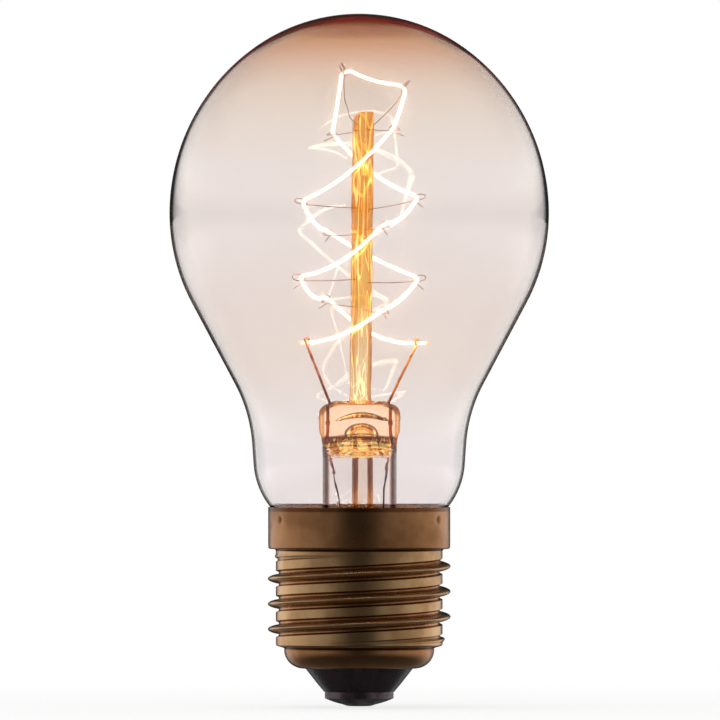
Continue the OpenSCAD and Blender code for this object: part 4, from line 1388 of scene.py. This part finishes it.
def thread_form(turn, z):
    """How far the thread's surface stands off its root at a point, and how bare its metal is."""
    around = (z - THREAD_PHASE_Z) / THREAD_PITCH - turn / 360
    off = abs(around - round(around))
    deep = -GROOVE_IN * eased_to(off, (BAND_FULL, BAND_START))
    if off < CREST_HALF:
        deep += (CREST_R - ROOT_R + GROOVE_IN) * (1 - (off / CREST_HALF) ** 2) ** 0.7
    bare = eased_between(RUB_ACROSS, off)[0]
    fade = eased_to(z, FADE_LOW) * eased_to(z, FADE_HIGH)
    return deep * fade, PLAIN_RUB + (bare - PLAIN_RUB) * fade


def dimple(turn, z):
    """How far the staking dimples press the skirt in at a point."""
    depth = 0
    for centre in DIMPLE_TURNS:
        around = (turn - centre + 180) % 360 - 180
        off = (math.radians(around) * SKIRT_R) ** 2 + (z - DIMPLE_Z) ** 2
        depth += DIMPLE_DEPTH * math.exp(-off / DIMPLE_WIDTH ** 2)
    return depth


# The profile goes up the outside and down the inside, as rows of (radius, height, wall, wear and
# shade). wall is how far a row lies inside the thread or the skirt, or None on a plain row, and the
# last is how bare the metal is, kept low at the top of the skirt and on its rim as painted shadow
# where the glass goes in.
LIP_R, LIP_Z, MOUTH_R, MOUTH_Z = 10.8, 8.1, 8, 5.4
bead = LIP_Z - MOUTH_Z
thread_rows = [THREAD_FOOT + THREAD_ROW * k for k in range(270)]
skirt_rows = [SKIRT_FOOT + 0.4 + SKIRT_ROW * k for k in range(34)]
rows = [(MOUTH_R - 0.05, MOUTH_Z + 0.12, None, 0.2), (MOUTH_R, MOUTH_Z, None, 0.3)]
for a in range(80, -1, -5):
    rows.append((MOUTH_R + (LIP_R - MOUTH_R) * cosine(a), LIP_Z - bead * sine(a), None, 0.5))
rows += [
    (10.76, 8.2, None, 0.1), (10.8, 8.32, None, 0), (11.0, 8.42, None, 0),
    (11.5, 8.55, None, 0.2), (11.85, 8.66, None, 0.6),
]
rows += [(ROOT_R, z, 0, None) for z in thread_rows]
rows += [
    (ROOT_R + 0.02, 22.36, None, 0.1), (ROOT_R + 0.1, 22.5, None, 0),
    (ROOT_R + 0.25, 22.58, None, 0), (12.6, SKIRT_FOOT, None, 0.1),
    (12.85, SKIRT_FOOT + 0.02, None, 0.2), (13.0, SKIRT_FOOT + 0.1, None, 0.3),
    (13.08, SKIRT_FOOT + 0.22, None, 0.5),
]
# Painted shadow: the top of the skirt and its rim are kept darkest, for the shadow in the gap where
# the glass goes in.
rows += [(SKIRT_R, z, 0, 0.5 if z < SKIRT_SHADE_Z else 0.1) for z in skirt_rows]
rows += [
    (13.08, 28.44, None, 0), (13.02, CAP_TOP, None, 0), (12.86, CAP_TOP, None, 0),
    (12.8, 28.44, None, 0),
]
rows += [(SKIRT_R, z, SHELL_WALL, 0.3) for z in skirt_rows[::-1]]
rows += [
    (12.7, SKIRT_FOOT + SHELL_WALL, None, 0.3), (11.8, SKIRT_FOOT + SHELL_WALL - 0.02, None, 0.3),
]
rows += [(ROOT_R, z, SHELL_WALL, None) for z in thread_rows[::-6]]
rows.append((LIP_R - 0.28, 8.5, None, 0.3))
for a in range(0, 81, 10):
    rows.append((
        MOUTH_R + (LIP_R - MOUTH_R - SHELL_WALL) * cosine(a),
        LIP_Z - bead * sine(a) + SHELL_WALL * sine(a) + (0.18 if a == 0 else 0), None, 0.3,
    ))
rows.append((MOUTH_R, MOUTH_Z + SHELL_WALL, None, 0.3))
turns = [2 * k for k in range(180)]
for centre in DIMPLE_TURNS:
    turns += [centre % 360 + 0.5 * k for k in range(-9, 10)]
turns = sorted({round(t % 360, 2) for t in turns})
shell_points, shell_faces, shell_wear_and_shade = [], [], []
for r, z, wall, wear_and_shade in rows:
    for turn in turns:
        reach, bare = r, wear_and_shade
        if r == ROOT_R and wall is not None:
            off_root, bare = thread_form(turn, z)
            reach = r + off_root - wall
        elif wall is not None:
            pressed = dimple(turn, z)
            reach = r - pressed - wall
            bare = wear_and_shade * (1 - 3 * pressed)
        shell_points.append((reach * cosine(turn), reach * sine(turn), z))
        shell_wear_and_shade.append(bare)
across = len(turns)
for i in range(len(rows)):
    low, high = i * across, (i + 1) % len(rows) * across
    for k in range(across):
        m = (k + 1) % across
        shell_faces.append([low + k, low + m, high + m, high + k])
shell = meshed("screw_shell_brass", shell_points, shell_faces, shell_wear_and_shade, "wear_and_shade")


def patina(tree):
    """The colour of the brass, from grimy to bare; its dark end also paints the rim's shadow."""
    return ramp(kept_mark(tree, "wear_and_shade"), [
        (0.0, (0.16, 0.06, 0.025)), (0.25, (0.36, 0.16, 0.065)), (0.5, (0.52, 0.255, 0.115)),
        (1.0, (0.8, 0.5, 0.25)),
    ])


brass = mottled_finish(
    "aged brass", WHITE, (0.8, 0.74, 0.68), 0.2, 160, depth=0.004, tint=patina
)
finished(shell, brass, ["screw_shell"], crease=80)

# Rim solder: the drop of soft solder that joins the side lead to the rim of the skirt, at the
# back of the lamp.
recoated("rim_solder", mottled_finish(
    "soft solder", (0.42, 0.41, 0.4), (0.24, 0.235, 0.23), 0.38, 900
))

# Insulator: black glass, cast molten into the bottom of the shell round the eyelet of the centre
# contact.
INSULATOR_FOOT = 2.05
INSULATOR_TOP = 4.4
CONTACT_R = 4.95
EYELET_R = 1.6
insulator_profile = [
    (EYELET_R + FUSE_GAP, INSULATOR_FOOT), (CONTACT_R + 0.05, INSULATOR_FOOT),
    (CONTACT_R + 0.17, INSULATOR_FOOT + 0.04), (CONTACT_R + 0.24, INSULATOR_FOOT + 0.16),
    (6.08, 3.28), (6.9, 4.33), (7.57, 5.18), (7.7, 5.36), (7.83, 5.54), (7.95, 5.75),
    (9.25, 6.2), (10, 6.95), (LIP_R - SHELL_WALL - FUSE_GAP, LIP_Z - 0.05),
    (LIP_R - 0.62, LIP_Z + 0.3), (7.2, 7.6), (3.4, INSULATOR_TOP),
    (EYELET_R + FUSE_GAP, INSULATOR_TOP),
]
insulator = turned("insulator_black_glass", insulator_profile, sides=128)
black_glass = mottled_finish(
    "black cast glass", (0.02, 0.012, 0.014), (0.012, 0.007, 0.008), 0.16, 260, metallic=0.0,
    depth=0.06,
)
finished(insulator, black_glass, ["base_insulator"])

# Centre contact: a domed brass plate, tarnished dark, with an eyelet that the lead comes down
# through and a drop of solder over it.
recoated("contact_plate", mottled_finish(
    "tarnished contact", (0.17, 0.135, 0.145), (0.075, 0.058, 0.064), 0.3, 450
))
recoated("contact_solder", mottled_finish(
    "dark solder", (0.34, 0.28, 0.29), (0.16, 0.125, 0.13), 0.34, 800
))
